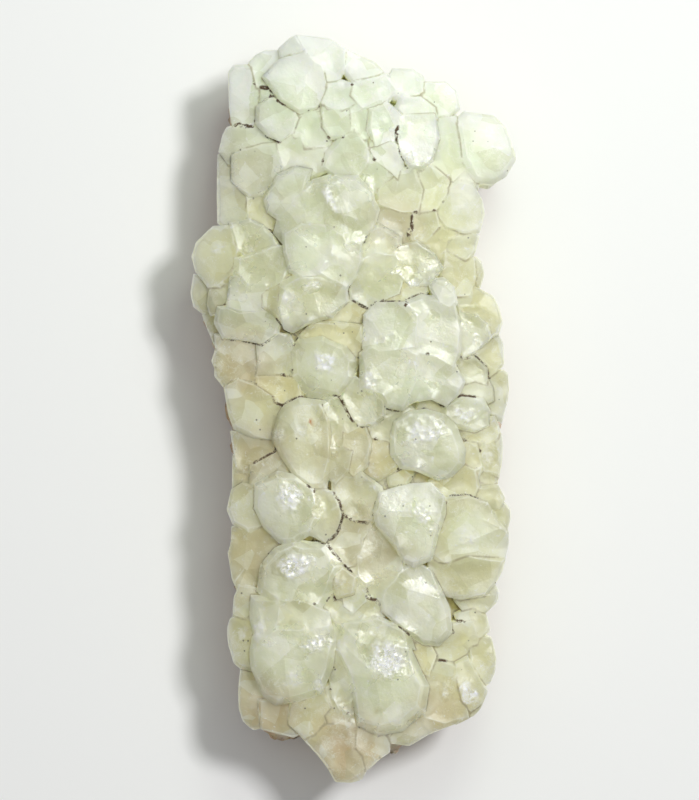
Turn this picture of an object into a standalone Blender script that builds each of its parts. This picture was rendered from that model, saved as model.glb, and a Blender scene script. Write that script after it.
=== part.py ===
"""A calcite cluster: a plate of intergrown crystals on a thin base of matrix rock.

The plate lies flat. +X runs across it, +Y along it and +Z up, and the origin is under the middle of
its box, on the surface it rests on. Sizes in the tables are millimetres and become metres once, in MM.
"""

import math
import random
from typing import NamedTuple

import bmesh
import bpy
from mathutils import Matrix, Vector, noise

MM = 0.001

# Driving dimensions, in millimetres
MATRIX_TOP = 7.6  # mean height of the rock that the crystals grew on
SEAT_GAP = 0.3  # clearance between the crystals' underside and the rock
CRUST_LEVEL = 19.2  # height of the crystals' shoulders along the middle of the plate
RELIEF = 0.55  # share of each crystal's own rise that is kept
RIM_FALL = 5.0  # how much lower the shoulders are at the long rims
END_FALL = 2.0  # how much lower they are at the two ends
HALF_WIDTH = 27.0
HALF_LENGTH = 62.0
ROOT_HEIGHT = 2.0  # the crystals are modelled down to here, inside the rock, and then cut off
ROOT_TAPER = 0.8  # a crystal's root against its girdle
ROOT_PULL = (0.02, 0.03)  # roots stand nearer the middle than tops, so the crystals fan outwards
FAN_LEAN = 9.0  # degrees that a crystal at the long rim leans outwards
BEVEL_STEEPNESS = 1.35  # rise over run of the facets between a crystal's girdle and its table
CRISPNESS = 0.5  # power on each crystal's flat share: below 1, tables reach closer to their girdles
FACET_TILT = (8.0, 18.0)  # degrees between the table and each low facet that breaks it
FACET_TURN = (1.8, 2.6)  # radians from one low facet round to the next
FACET_REACH = (0.1, 0.55)  # how far out a low facet starts, as a share of the table
TABLE_DRIFT = 0.2  # how far a table may stand off its girdle's middle, as a share of the bevel
LEAN_ALONG = 0.5  # how much crystals also lean towards the nearer end of the plate
SPREAD = (0.4, 1.4)  # how far a high and a low girdle spread into their neighbours, which they run under
LOW_RISE, HIGH_RISE = -1.0, 2.5  # rises of the crystals that spread the most and the least
FILL_SPACING = 3.4  # spacing of the lattice of small crystals, of which those in the gaps grow
FILL_REACH = (2.1, 3.1)  # a small crystal's least and greatest radius
FILL_SIDES = 5
FILL_DRIFT = 0.8  # how far a small crystal stands off its place in the lattice
FILL_RISE = (-1.6, -0.6)  # how far a small crystal's top stands over the crust's level
FILL_FLAT = 0.55  # its flat share
ROW_PITCH = 0.866  # a triangular lattice's row spacing against its column spacing
TERRAIN_CELL = 5.2  # the facets of the rock surface under the crystals
TERRAIN_RELIEF = 4.4  # height of that surface's swells
TERRAIN_SWELL = 9.0  # and their size
TERRAIN_MARGIN = 6.0  # how far the blocks that cut that surface stand out past the plate
BELOW_FLOOR = -10.0  # and how far down they reach
FLANK = ((0.0, 3.2), (1.1, 1.5), (3.0, 0.6), (5.4, 0.0), (13.0, 0.4))  # the rock's side: height, inset
FLANK_LUMPS = ((7.0, 2.0), (3.2, 1.3))  # lumps on that side: size, depth
LUMP_SQUAT = 1.6  # how much lower than wide those lumps are
LUMP_FADE = 3  # power by which they fade out up the side

CALCITE = {"colour": (0.74, 0.78, 0.62, 1.0), "roughness": 0.22, "transmission": 0.55}
ROCK = {"colour": (0.72, 0.53, 0.38, 1.0), "roughness": 0.85, "transmission": 0.0}


class Crystal(NamedTuple):
    """One crystal, seen from above."""

    name: str
    rise: float  # how far its top stands over the crust's level
    flat: float  # share of the outline that its table keeps, before CRISPNESS
    outline: str  # x,y points round its girdle


CRYSTALS = (
    # The top end
    Crystal(
        "nw_block", 1.0, 0.78,
        "-21,56.3 -20,57.5 -16.6,57.5 -15,54 -15,50.5 -16.3,48 -20,47.7 -20.8,50",
    ),
    Crystal(
        "north_knob", 0.6, 0.7,
        "-17.6,57.8 -16.4,59.1 -14.8,59.9 -12.5,59.9 -11.8,57 -13,53.5 -16,54",
    ),
    Crystal(
        "north_face", 3.6, 0.72,
        "-15,55.2 -12.6,58.2 -8,59.6 -5.4,57 -4.8,53.5 -6.3,50.3 -9,49.4 -12,51.4",
    ),
    Crystal("crown", 2.2, 0.6, "-12.6,60 -10.6,61.9 -9.5,62.3 -8,60 -9.8,57.6 -12.3,57.8"),
    Crystal("crown_east", 2.4, 0.68, "-9.6,62.3 -4,61.7 -1,60 -1.3,57 -3.4,53.6 -5.8,55.6 -8.6,60"),
    Crystal("north_slope", 1.6, 0.6, "-1.8,60.3 1.5,58.7 3.7,57.8 5.2,56 3,53.6 0.5,53.7 -1.5,56.5"),
    Crystal("frost_patch", 2.0, 0.62, "0,54.5 5.6,56 6.8,53 5,50.3 1.5,49.8 -0.6,52"),
    Crystal("knoll", 1.4, 0.6, "6.4,56.8 10,56.7 11.8,55.4 12,52.6 9,51.2 6.3,52.2 5.2,54.7"),
    Crystal("ne_shoulder", 1.2, 0.66, "11.4,54.6 15.5,54.6 17.2,53 17.9,50 16,48.6 12.8,48.8 10.6,51"),
    Crystal("north_ledge", 1.8, 0.6, "8.4,52.2 11.3,52.2 13.9,50.2 13.6,48.5 9,48.5 7.2,50"),
    Crystal(
        "ne_point", 4.2, 0.62,
        "16.8,47.6 18.3,49.7 23.5,49 25.5,47 26.6,44.5 27.3,41.7 25.5,38.7 23.3,37.4 20.3,38 18,41",
    ),
    Crystal("ne_inner", 3.0, 0.72, "7.8,48.6 13.4,48.8 14,45 13,41.5 11.4,40.1 9.4,40.4 7.8,43 7.1,46.5"),
    Crystal("ne_sliver", 0.9, 0.7, "13,49 17.3,49 17.4,44 18.6,40.5 16.5,38 12.8,39.2 13,43"),
    Crystal("mint_stub", 2.6, 0.68, "2.8,49.7 5.6,50.8 7.6,49 7.3,46 6,43.4 3.7,43.8 2.6,46.5"),
    Crystal("mint_fang", 1.8, 0.5, "3,45.2 5.6,46 7.6,44 8,41 7.6,37.8 6.2,39.3 3.8,41.3 2.3,43.5"),
    Crystal("mint_gap", 0.9, 0.6, "-0.6,50.7 3.2,50.8 3.3,46 1.5,44.6 -0.6,46.2"),
    Crystal("tooth", 1.3, 0.6, "-5,50.2 -2,50.7 -0.1,48.5 -0.7,46.2 -2,45.4 -3.8,45.5 -4.7,47"),
    Crystal("frost_step", 1.5, 0.66, "-5.3,53.7 -2,54.2 0.2,53.6 0.5,51 -2,49.8 -4.8,50.1"),
    Crystal("olive_flat", 0.2, 0.7, "-9.8,49.5 -6,50.5 -4.4,49 -3.9,46.5 -4.8,44 -8,43.6 -10.2,46.5"),
    Crystal(
        "drop", 2.4, 0.66,
        "-16,50.2 -13.7,51.6 -10.5,50.6 -9.3,48.3 -10.3,46.2 -12.3,44.9 -14.3,45.8 -16,47.5",
    ),
    Crystal("drop_back", 0.9, 0.6, "-15,53.5 -12.6,53 -11.3,50.5 -13,49.3 -15.2,50.2"),
    # The stained upper left
    Crystal(
        "stained_head", -0.6, 0.74,
        "-21.3,47 -16.2,48 -13.8,45.7 -11.8,44 -12.6,41.3 -16,41.8 -20,41.5 -22.7,43 -22,45.6",
    ),
    Crystal(
        "stained_step", 0.3, 0.76,
        "-19.6,42.2 -15,43.2 -12,43.7 -9,43 -10,40.3 -12.8,39.3 -15,36.3 -17,35.9 -19.6,38.3",
    ),
    Crystal(
        "stained_edge", -0.9, 0.72,
        "-22.8,42.5 -20.3,43 -19,38.5 -16.5,37 -15.2,35 -15,31.8 -17,30.5 -20,30.2 -22.8,31 -22.9,36",
    ),
    Crystal("stained_nook", -0.8, 0.6, "-17.2,35.7 -14.8,36 -13.4,33.5 -13,30.8 -15,29.6 -17.2,31"),
    Crystal(
        "olive_slope", -0.2, 0.7,
        "-10.3,46.7 -5,45.3 -3.6,43 -4.8,40.3 -7.5,39 -11.2,40.2 -12.3,43.6",
    ),
    Crystal(
        "green_wedge", 1.5, 0.55,
        "-1.9,45.4 0.2,46.5 2.8,43.5 2.7,41 0.5,38 -2.5,38.4 -4.8,40.4 -4.1,42.6",
    ),
    Crystal("green_step", 0.6, 0.64, "2.3,43.3 4.6,41.2 6.7,39.8 4.7,36.2 1,36.6 0,38.7"),
    # The upper middle
    Crystal(
        "leaf", 2.9, 0.62,
        "-14.7,35 -12.6,38.7 -9.8,40.1 -7.2,39.6 -8.2,36 -11,33 -12.5,31.7 -14.2,33",
    ),
    Crystal(
        "upper_face", 3.1, 0.7,
        "-12.6,31.3 -9.8,35.2 -7,37.8 -4,38.8 -2,36 -1.2,32.7 -4.5,29.8 -8,29.8 -11.5,27.6 -13.2,29.5",
    ),
    Crystal("glint_top", 4.3, 0.6, "-4.9,36.3 -3,38.6 0.5,38.5 3,36 3.4,33 0.5,31.1 -2,32 -4.2,33.3"),
    Crystal(
        "lilac_face", 3.5, 0.72,
        "-2.4,33.7 3,35.1 4.1,33 3.1,30.4 1.1,27.4 -1,26.6 -3.3,28.2 -4.8,30.8",
    ),
    Crystal(
        "great_tablet", 4.6, 0.8,
        "-11.7,29.3 -8.5,30.5 -4.5,30.3 -1.7,28.2 -1.4,25"
        " -2.3,22.6 -6,22.3 -8.5,21.9 -10.4,22.9 -11.3,26",
    ),
    Crystal(
        "tablet_wing", 3.9, 0.7,
        "-3,28.7 1.1,27.2 1.2,24.5 0.1,22 -1.2,20.2 -3.6,21.1 -6.2,22.6 -4,25.5",
    ),
    Crystal(
        "rust_plate", -0.7, 0.8,
        "3.2,34.9 7.5,34.4 10.2,32.9 10.5,31 9.5,29.1 8.8,26.9 6,26.6 2.6,30 3.5,32",
    ),
    Crystal("east_ridge", 0.8, 0.66, "4.2,36.5 7,38.9 9.9,40 11.4,36.5 10.8,33 8,33.2 4.4,34.2"),
    Crystal("east_slab", 1.2, 0.7, "9.5,40.3 12.8,40.4 15.4,38.1 15.3,36 13.7,33.2 10.8,32.5 9.7,36"),
    Crystal(
        "east_boss", 2.0, 0.68,
        "15.4,36.9 17.5,37.8 19.8,37 21.6,34.7 22,32.5 21.1,29.3 18.5,28.8 15,30.2 13.6,32.5 14.2,35",
    ),
    Crystal("boss_back", 0.2, 0.7, "14.6,38.6 17.5,39.8 20.3,38.2 20.6,35.6 16,35.8"),
    Crystal(
        "olive_seat", 0.2, 0.72,
        "13.1,31.3 16.5,31 17.6,28.3 15.4,26.2 13,25 10.3,26.9 9.3,29.5 10.3,31.7",
    ),
    Crystal("olive_chip", 0.7, 0.66, "10,33 13.5,33.5 13.9,30.5 12,28.3 9.9,28"),
    Crystal("east_pad", 0.9, 0.7, "15.6,28.7 18.5,29.6 21.1,28.8 20.3,25.8 18,24.3 15.2,25.8"),
    Crystal("fluted_post", 1.3, 0.66, "15.4,26.1 17.5,25.4 20.2,25.2 20.6,22 19.3,18.7 17,18.6 14.6,22"),
    Crystal(
        "amber_edge", 0.3, 0.66,
        "19.2,25.3 20.4,25.5 21.4,24.6 21.9,22.7 21.2,20.2 19.3,19.2 18.6,22",
    ),
    Crystal(
        "pale_saddle", 2.2, 0.74,
        "5.2,25.6 8.5,27 10.5,27.6 13.2,25.7 14.6,23.5 12.6,20.9 9.5,20.4 7.6,22.3 5.5,22.8",
    ),
    Crystal(
        "green_mitre", 1.7, 0.74,
        "0.9,24.6 3.5,26 6.9,25.4 8.2,22.5 7.2,19.3 5,18.3 2.7,17.2 0,18.7 -0.4,21",
    ),
    Crystal("mitre_foot", 1.2, 0.68, "4.8,20.7 8,22.3 11.3,21.3 11.9,19.4 8.9,17.4 7.3,16.6 4.8,17.4"),
    Crystal("saddle_back", 1.0, 0.68, "0.7,27.4 4,30.2 7.4,28.2 7,25.2 3.8,25 1.2,25.2"),
    # The left wing
    Crystal(
        "wing_boss", 3.4, 0.62,
        "-23.6,30.5 -20,30.5 -18.2,27 -19.3,22.3 -22,20.2 -24,20.2 -26.5,23 -27.1,25.4 -26.4,27.8",
    ),
    Crystal(
        "wing_back", 1.7, 0.68,
        "-20.3,30.7 -17,31.1 -15.2,30.1 -13.7,28.6 -12.2,26.5 -13.2,24 -16.5,24.8 -19.3,26.3",
    ),
    Crystal(
        "wing_heart", 3.2, 0.66,
        "-19.5,25 -16,26 -13.5,26.9 -11.1,27 -10.5,23.5 -11.8,20.3 -15,19.6 -17.7,20.5 -19.8,22.4",
    ),
    Crystal("wing_block", 3.4, 0.8, "-20.4,21.8 -15.1,22.4 -14.3,19.4 -14.9,16.6 -18.8,16.3 -20.9,17"),
    Crystal("wing_chip", 1.5, 0.7, "-24.1,20.4 -20.6,20.8 -20,18 -21.7,16.4 -23.6,16 -24.6,17.5"),
    Crystal(
        "wing_tip", 0.3, 0.64,
        "-26.8,22.6 -24.8,22.2 -23.6,19.5 -24,16.8 -25.3,15.9 -26.8,17 -27.3,19.2",
    ),
    Crystal(
        "wing_apron", 2.3, 0.78,
        "-22.4,16.9 -18,17.2 -14,17 -12.1,15 -12.9,12.6 -15.5,11.1 -17.5,11.7 -21.5,12 -22.9,14.3",
    ),
    Crystal("wing_seam", 3.0, 0.64, "-15.2,20.4 -11,22.3 -8.8,20.7 -9,17.3 -11.4,13.6 -12.6,15.4 -15,17"),
    Crystal(
        "great_wedge", 4.2, 0.66,
        "-11.8,20.9 -8.8,22.5 -5.4,22.2 -1.4,19.9 -1.1,18"
        " -3.8,15.4 -7.5,14.4 -10,12.9 -11.4,13.5 -12.4,17",
    ),
    Crystal(
        "wing_root", -1.6, 0.7,
        "-25.4,15.8 -24,16.6 -22.2,14 -21.8,11.4 -23.3,10.6 -24.1,12.5 -24.9,14.5",
    ),
    Crystal(
        "dark_nook", -0.3, 0.76,
        "-4,16.2 -1,18.8 0.1,19 2.4,17.6 2.6,15.5 0.6,12.8 -3.3,13 -6.4,13.8",
    ),
    # The middle, left
    Crystal(
        "window", 3.8, 0.45,
        "-10.3,9.8 -8.6,11.9 -5,12.7 -0.7,10.7 0.6,8 0,5 -2,1.9 -5,2 -7.6,2.2 -9.8,5.5",
    ),
    Crystal("window_back", 1.8, 0.7, "-8.8,12 -6.4,14.2 -3,14 1.6,13.8 1.8,9.8 -0.6,8.6 -5,10"),
    Crystal(
        "amber_block", 0.9, 0.74,
        "-22.9,11.9 -17.5,12 -15.3,10.8 -15.3,7 -15.9,4.6 -19,3.8"
        " -21.8,3.6 -23.3,5.5 -23.2,6.8 -23.8,8 -23.1,10",
    ),
    Crystal(
        "amber_cell", 0.7, 0.76,
        "-15.6,11 -13.5,11.9 -11,11.8 -10.1,9.7 -9.7,7 -10.8,5.1 -13,4.3 -15.5,4.8",
    ),
    Crystal(
        "amber_crumb", 0.4, 0.68,
        "-15.6,5.2 -12.5,5.1 -9.8,5.8 -9.2,3 -8.7,1.5 -11.5,1.3 -13.6,1.8 -15.9,2.9",
    ),
    Crystal(
        "amber_cushion", 1.9, 0.74,
        "-21.7,3.7 -19,4.5 -16.4,3.7 -13.9,2.1 -11.8,0.5"
        " -12.1,-2 -13.4,-4.7 -16.5,-4.4 -19.6,-3 -20.9,-1",
    ),
    Crystal(
        "long_roof", 3.4, 0.7,
        "-13.3,-4.8 -12.3,-1 -11.5,0.3 -9,1.6 -5.4,1.2 -4.1,-2"
        " -3.8,-8 -4.6,-13 -7,-13.3 -9.5,-11.3 -12,-7.6",
    ),
    Crystal(
        "tan_kite", 1.1, 0.72,
        "-5.3,0.4 -3.5,1.8 -1.7,1.9 0.4,-1.4 0.9,-2.8 -0.4,-4.5 -3.5,-4.2 -4.8,-2",
    ),
    Crystal("tan_strip", 1.4, 0.68, "-4.5,-3.8 -1,-4 -0.5,-7 -1.1,-10 -3,-12 -5,-10"),
    Crystal("tan_pane", 1.3, 0.76, "-1.5,-4 1.5,-2.8 2.4,-5.5 2,-9 0,-10.8 -1.5,-8.5"),
    Crystal("shield", 2.3, 0.74, "-1.9,2 0.3,5.3 1.6,4 3,3 4.9,1.1 5,-1 3.3,-2.4 1,-2.5 -0.1,-1.2"),
    # The middle, right
    Crystal("twin_west", 4.5, 0.82, "2,15.6 4,17.4 8.5,17.5 10.7,15.6 10.2,10.3 6,9.7 1.7,10.2"),
    Crystal(
        "twin_east", 4.9, 0.78,
        "8.4,17.6 11.5,18.8 13.3,18.4 16.6,17.3 17.9,13 17.6,9.5 16.3,7.1 12.5,8 9.4,10.2",
    ),
    Crystal("snow_face", 4.4, 0.7, "1.2,9.1 3,10.5 8,10.9 10.6,9 10.2,4 8.2,0 5.5,0.5 4.7,2 1.4,3.4"),
    Crystal(
        "snow_wing", 4.0, 0.74,
        "8.3,10.4 13,9.1 16.5,7.6 18.3,4.5 17.4,2.6 15.2,0.7 13,1.9 10.5,1.4 8,0.1 7.4,4",
    ),
    Crystal("lens", 5.4, 0.6, "12.9,20.2 13.7,21.4 15,21.6 16.5,20.1 17.1,17.8 16,16.6 14.2,17.6"),
    Crystal(
        "east_flank", 2.2, 0.74,
        "16.8,19.6 20,20 21.4,19.9 23.3,18.9 24.3,17 25,14.5"
        " 24.4,12.6 21,10.9 19.5,9 17.7,9.5 17.4,13.5",
    ),
    Crystal("flank_face", 2.9, 0.74, "17.8,17.2 20,15.9 22.5,14.2 22.8,12 20.4,9.8 18.2,8.5 17.6,12"),
    Crystal(
        "rose_edge", 1.0, 0.7,
        "19.6,9.3 21.5,11.4 24.2,12.7 25.1,10.8 25.2,7.4 23.8,5.8 22,5.2 20.2,7.2",
    ),
    Crystal("east_cell", 1.6, 0.74, "17.6,8.9 19.8,8.4 21.8,6.6 21.8,4.3 20,3.5 18,3.9 16.7,6.7"),
    Crystal("east_scale", 1.4, 0.72, "18,4.9 21.4,5.7 23.3,3.6 23.5,1.3 21,0.9 18.3,1.4 17.2,2.7"),
    Crystal("east_band", 0.9, 0.72, "21.8,5.7 25.1,6.6 25.8,6 26,3.5 25.7,1 24.8,-2.4 22.6,-0.4 22.2,3"),
    Crystal(
        "cleft_white", 2.6, 0.66,
        "15.1,0.5 18,1.9 21.3,1.6 22.5,-0.3 22.2,-2.6 20,-3.6 17,-2.7 14.9,-1.1",
    ),
    Crystal(
        "cleft_foot", 1.2, 0.72,
        "16.6,-2.1 20.5,-2.6 23.6,-1 24.6,-3.6 24.4,-4.8 22.5,-6 20,-6.8 17.3,-5.7",
    ),
    Crystal(
        "flecked_edge", 1.7, 0.68,
        "20.8,-5.4 22.8,-4.2 24.5,-4.6 25,-6.2 24.8,-9.3 24.3,-11.7 22.3,-11.1 20.6,-9.8 20.1,-7",
    ),
    Crystal(
        "speckled_boss", 4.5, 0.66,
        "7,-2.2 9.4,-0.7 12,-0.3 14.8,-1.1 16.9,-3 18.3,-6.5 18.2,-9"
        " 16.2,-11 14,-11.6 10.5,-10 8,-9.7 6.4,-7.6 6.4,-4.5",
    ),
    Crystal("dark_pocket", -0.9, 0.8, "11,-0.5 12.4,2.2 15.2,1.6 15.6,-1.4 12,-1.2"),
    Crystal("tan_gap", 0.2, 0.76, "4.5,1.3 8,0.6 10,-0.9 7.3,-2.7 6.5,-4.9 3.3,-4.4 3,-2.1"),
    Crystal("rust_gap", -0.1, 0.74, "1.4,-2.7 5.2,-3.7 6.9,-6 6.5,-9.3 4,-11 1.5,-9.3 1.4,-5.5"),
    Crystal("east_peg", 1.3, 0.72, "18,-5.7 20.4,-6.2 21.1,-9.5 20.2,-11.8 18,-11.3 17.3,-9"),
    Crystal(
        "green_gable", 1.2, 0.74,
        "15.7,-10.7 17.5,-9.3 20,-10.3 20.4,-13 19.5,-15.4 16,-15.5 13.6,-13.2 13,-12",
    ),
    Crystal("edge_button", 0.6, 0.66, "20.1,-9.7 22.5,-10.1 24.3,-11 24.1,-12.7 22,-13.6 19.8,-13"),
    Crystal("mint_cap", 2.6, 0.7, "20.2,-13.2 24.1,-12.5 25.4,-15 24.4,-16.7 21.5,-16.6 19.8,-15.1"),
    Crystal(
        "edge_knuckle", 1.7, 0.68,
        "22,-15.9 24.7,-14.9 26.2,-16.6 26.3,-18.4 25.7,-20.4 24.3,-20 22.2,-18",
    ),
    # The lower middle
    Crystal(
        "hexagon", 6.0, 0.74,
        "3.6,-17 4.5,-14 9.5,-12.7 12.8,-12.5 15,-14.8 15,-17.5"
        " 13.9,-20.5 12.9,-24.8 10,-26 8.3,-25.2 7.2,-23 4,-19.3",
    ),
    Crystal(
        "anvil", 5.2, 0.78,
        "14.2,-15 19,-14.7 22.2,-15.9 23.8,-17.8 25.9,-20.3 25.9,-22.8"
        " 25.4,-25.1 21,-25.6 15,-25.4 12.4,-24.2 12.8,-20",
    ),
    Crystal(
        "anvil_foot", 4.0, 0.72,
        "12.6,-24 19,-24.2 25.5,-24.8 24.9,-27 23.8,-29 22,-31.1 18,-31.5 14,-30.6 12.8,-28",
    ),
    Crystal("spur", 2.5, 0.66, "20,-28.9 23.5,-28.9 24.4,-30.5 24.2,-32 22.2,-34 19.2,-34.3 17.1,-32"),
    Crystal(
        "great_dome", 3.8, 0.7,
        "5,-29.7 7.4,-26.9 10.5,-25.7 12.7,-26.9 14.3,-30 15.7,-33"
        " 16.2,-37 14,-39.2 11.5,-38.8 8.5,-36.7 5,-33.6 4.6,-31.5",
    ),
    Crystal(
        "tan_spindle", 1.4, 0.72,
        "2.2,-18.7 4.4,-19.1 7.6,-22.8 8.1,-26.6 5.8,-28.8 5.2,-31.3 1.9,-31.6 0.9,-27 0.4,-22.5",
    ),
    Crystal(
        "tan_arrow", 0.8, 0.76,
        "-2.4,-17.8 2.2,-17.5 2.8,-19 1.1,-21.5 0.8,-25.3 -1,-26.2 -4.9,-22 -3,-20.5",
    ),
    Crystal("tan_pentagon", 1.0, 0.78, "-3,-12 0.5,-10.5 4.1,-13.2 4.4,-16 2.8,-18.1 -2,-18.1 -2.9,-15"),
    Crystal(
        "moon_lobe", 2.6, 0.7,
        "-8.3,-13.8 -5.5,-13.4 -3.6,-14 -2.6,-15.6 -2.2,-17.5 -3,-20.3 -4.7,-22 -7.7,-20.3 -8.8,-17",
    ),
    Crystal(
        "moonstone", 4.6, 0.66,
        "-16.2,-12.6 -12.5,-10.6 -9.5,-11.3 -6.8,-13.5 -6.1,-17"
        " -6.8,-20.2 -9.5,-22 -12.3,-22 -14.7,-19.6 -16.2,-16.5",
    ),
    Crystal(
        "left_lobe", 2.2, 0.66,
        "-20.4,-13.4 -18.4,-12.6 -16.5,-13.4 -14.9,-16 -14.7,-19.2 -17.5,-20.1 -20.2,-19.2 -21.2,-16.8",
    ),
    Crystal(
        "tan_table", 0.7, 0.8,
        "-20.4,-19.5 -16,-19.4 -13.1,-20.2 -11.9,-21.8 -13.8,-24 -15.3,-26.5"
        " -15.8,-30.6 -18.8,-30.4 -20.3,-28.5 -21.1,-24 -20.5,-22",
    ),
    Crystal(
        "olive_flake", -0.5, 0.78,
        "-19.7,-4.4 -16.8,-5.3 -13.4,-5.2 -12,-7.9 -15.9,-10.3 -18.7,-9.6 -20,-7.5",
    ),
    Crystal(
        "rust_flake", -0.9, 0.74,
        "-20.2,-7.6 -18.3,-9 -16,-9.7 -15.4,-12 -16.8,-14 -19.3,-13.4 -20.3,-13",
    ),
    Crystal("tan_flake", 0.4, 0.72, "-16.3,-9.8 -12.5,-7.6 -9.2,-11.3 -12.5,-12.8 -16.8,-13.8"),
    Crystal(
        "blaze", 4.2, 0.6,
        "-15.2,-26 -13,-23.4 -10,-21.9 -7,-22.4 -4.4,-22.4 -1.7,-26"
        " -3.5,-30 -5.4,-33 -9,-33.2 -13,-32.5 -15.8,-30.2",
    ),
    Crystal("spark", 2.6, 0.6, "-3.8,-27.8 -1.8,-26.3 0.2,-28 -0.1,-30.6 -2.8,-31.3"),
    Crystal("rose_gap", 0.1, 0.7, "-5.4,-27 -3,-28 -2.5,-31.2 -4,-33 -5.5,-30"),
    Crystal("tan_spit", 0.8, 0.72, "-2.3,-25.7 1,-25 1.9,-28 1.9,-31.8 0,-34 -2.8,-31.6 -0.4,-29"),
    Crystal("tan_bridge", 1.0, 0.72, "-3.4,-31 0,-31 4.8,-32.4 4.2,-36 0,-36.6 -2.8,-35.4 -4.9,-33"),
    # The bottom end
    Crystal("left_toe", 1.2, 0.7, "-20,-31.4 -18.8,-29.9 -15.9,-30.3 -15.6,-33 -16.9,-35.3 -20.2,-34.3"),
    Crystal(
        "left_heel", 2.2, 0.64,
        "-20.7,-35 -18,-33.8 -16.2,-36 -16.4,-40 -16.9,-43.4 -18.9,-43.3 -20,-42.4 -21,-39 -21.1,-36.6",
    ),
    Crystal(
        "ice_brow", 3.8, 0.62,
        "-16.9,-31.2 -12.5,-31.5 -10.6,-32.3 -11.2,-35.3 -13,-37.5 -16.2,-38.8 -17,-34.5",
    ),
    Crystal(
        "ice_dome", 4.3, 0.72,
        "-12.4,-32.6 -10,-31.6 -7.5,-32.2 -4.4,-33.9 -3.9,-36.2 -6.5,-37 -10,-37.3 -12.3,-36",
    ),
    Crystal(
        "ice_block", 5.2, 0.7,
        "-16.6,-38 -13,-36 -9,-36.3 -4,-35.7 -3.2,-38.5 -3.8,-43"
        " -5.5,-47 -9,-48.1 -12.8,-49 -14.8,-47.5 -16.8,-43 -17,-40.5",
    ),
    Crystal(
        "brown_foot", 0.4, 0.7,
        "-18.9,-43.1 -16.7,-43 -15,-46 -13.9,-48 -14.3,-52 -16.8,-53.6 -18.5,-52.2 -19.2,-50 -19.3,-47",
    ),
    Crystal("brown_lap", 0.9, 0.74, "-15.2,-48.7 -12.5,-48.7 -9,-47.7 -7.4,-52.3 -10.2,-54 -14.8,-52.9"),
    Crystal(
        "fluted_foot", 2.2, 0.68,
        "-10.2,-48.2 -7,-46.8 -4.8,-46.5 -3.4,-50.5 -4.7,-53.5 -8,-54.6 -10.5,-52.3",
    ),
    Crystal(
        "snout", 1.2, 0.66,
        "-8.3,-54.7 -5,-51.9 0,-51.4 1.4,-53 1.3,-57 2.4,-60"
        " 1.4,-61.8 -0.2,-62.3 -3,-62.2 -4.2,-60 -6,-57.7",
    ),
    Crystal(
        "snout_cheek", 1.3, 0.66,
        "0.6,-51.9 3.5,-52.6 5.6,-53.5 5.4,-57 4.5,-58.2 2.9,-59.8 2,-60.3 0.4,-57",
    ),
    Crystal(
        "great_blaze", 5.6, 0.62,
        "-1.2,-36.2 2,-35.9 5.6,-37.1 9.2,-39.8 10.9,-43.5 12.3,-46 11.7,-50.2"
        " 8,-53.3 4,-54 0.7,-52.3 0.2,-48 -0.6,-44 -2.6,-40",
    ),
    Crystal(
        "tan_wedge", 1.6, 0.7,
        "-3.5,-39.7 -1,-39.4 0.3,-44 0.7,-48.7 -1.3,-51.5 -3.4,-47.8 -3.9,-43",
    ),
    Crystal("tan_hollow", 1.0, 0.72, "-5.3,-46.5 -3.1,-46 -0.7,-50.4 0.1,-52.5 -4,-53.8 -4.9,-50"),
    Crystal(
        "brow_shelf", 2.6, 0.72,
        "-3.8,-36 0,-35.3 4,-34.7 8.9,-36.8 10,-40 5.5,-39 1,-39.2 -2.8,-40.2",
    ),
    Crystal(
        "right_flat", 1.4, 0.74,
        "12.3,-38.3 16,-36.1 20,-35.2 21.4,-38 19.8,-40.9 16.5,-42 13.3,-41.6 10.6,-40.7",
    ),
    Crystal("right_spall", 2.0, 0.66, "17.2,-34.4 20,-33.4 22.2,-34.2 22.9,-37 21,-38.5 18.2,-36.9"),
    Crystal(
        "right_dome", 3.0, 0.68,
        "19.3,-39.9 21,-37.7 23,-38 23.9,-41.5 23.7,-43.8 22.9,-45.8 21.3,-46.5 19.6,-43.2",
    ),
    Crystal(
        "glass_finger", 3.7, 0.6,
        "16.9,-42.5 19,-41.3 20.2,-43.8 22.5,-46.9 21.7,-49 19.5,-50.6 17.8,-48.7 17.1,-45.5",
    ),
    Crystal(
        "brown_slope", 2.4, 0.7,
        "11.2,-41.7 13.5,-41.6 16.9,-42.7 18,-46 18.5,-49 19.4,-51.6 15,-53.2 11,-51.5 11.3,-46.5",
    ),
    Crystal(
        "brown_hem", 1.1, 0.72,
        "7.6,-49.6 12,-49.1 16.4,-52.6 12.5,-54.3 9.5,-55.4 6.5,-55.2 5,-53.5",
    ),
    Crystal("right_corner", 1.5, 0.64, "18.7,-49.1 22,-48.2 21.2,-50.1 20,-51.2 17,-52.7 17.1,-49.8"),
    Crystal("right_nook", 1.2, 0.66, "8.2,-37.6 11.7,-38.1 13.4,-41 12.4,-44.4 9.8,-43.4 8.6,-40.5"),
)

# The crust under the crystals, inside their rims, and how its top domes: share of the outline, height
CRUST_DOME = ((1.0, 12.6), (0.8, 14.8), (0.5, 16.6), (0.22, 17.2))
SLAB_OUTLINE = (
    "-18,54 -12,57 -4,58 3,54 9,53 15,50 22,45 22,41 17,37 18,28 17,23 20,17 22,9 22,0 21,-10"
    " 23,-20 21,-28 19,-36 20,-44 15,-50 6,-52 -1,-56 -9,-52 -15,-49 -16,-42 -17,-35 -17,-26"
    " -17,-12 -17,-2 -20,8 -22,18 -23,25 -19,30 -19,43 -18,48"
)

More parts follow.
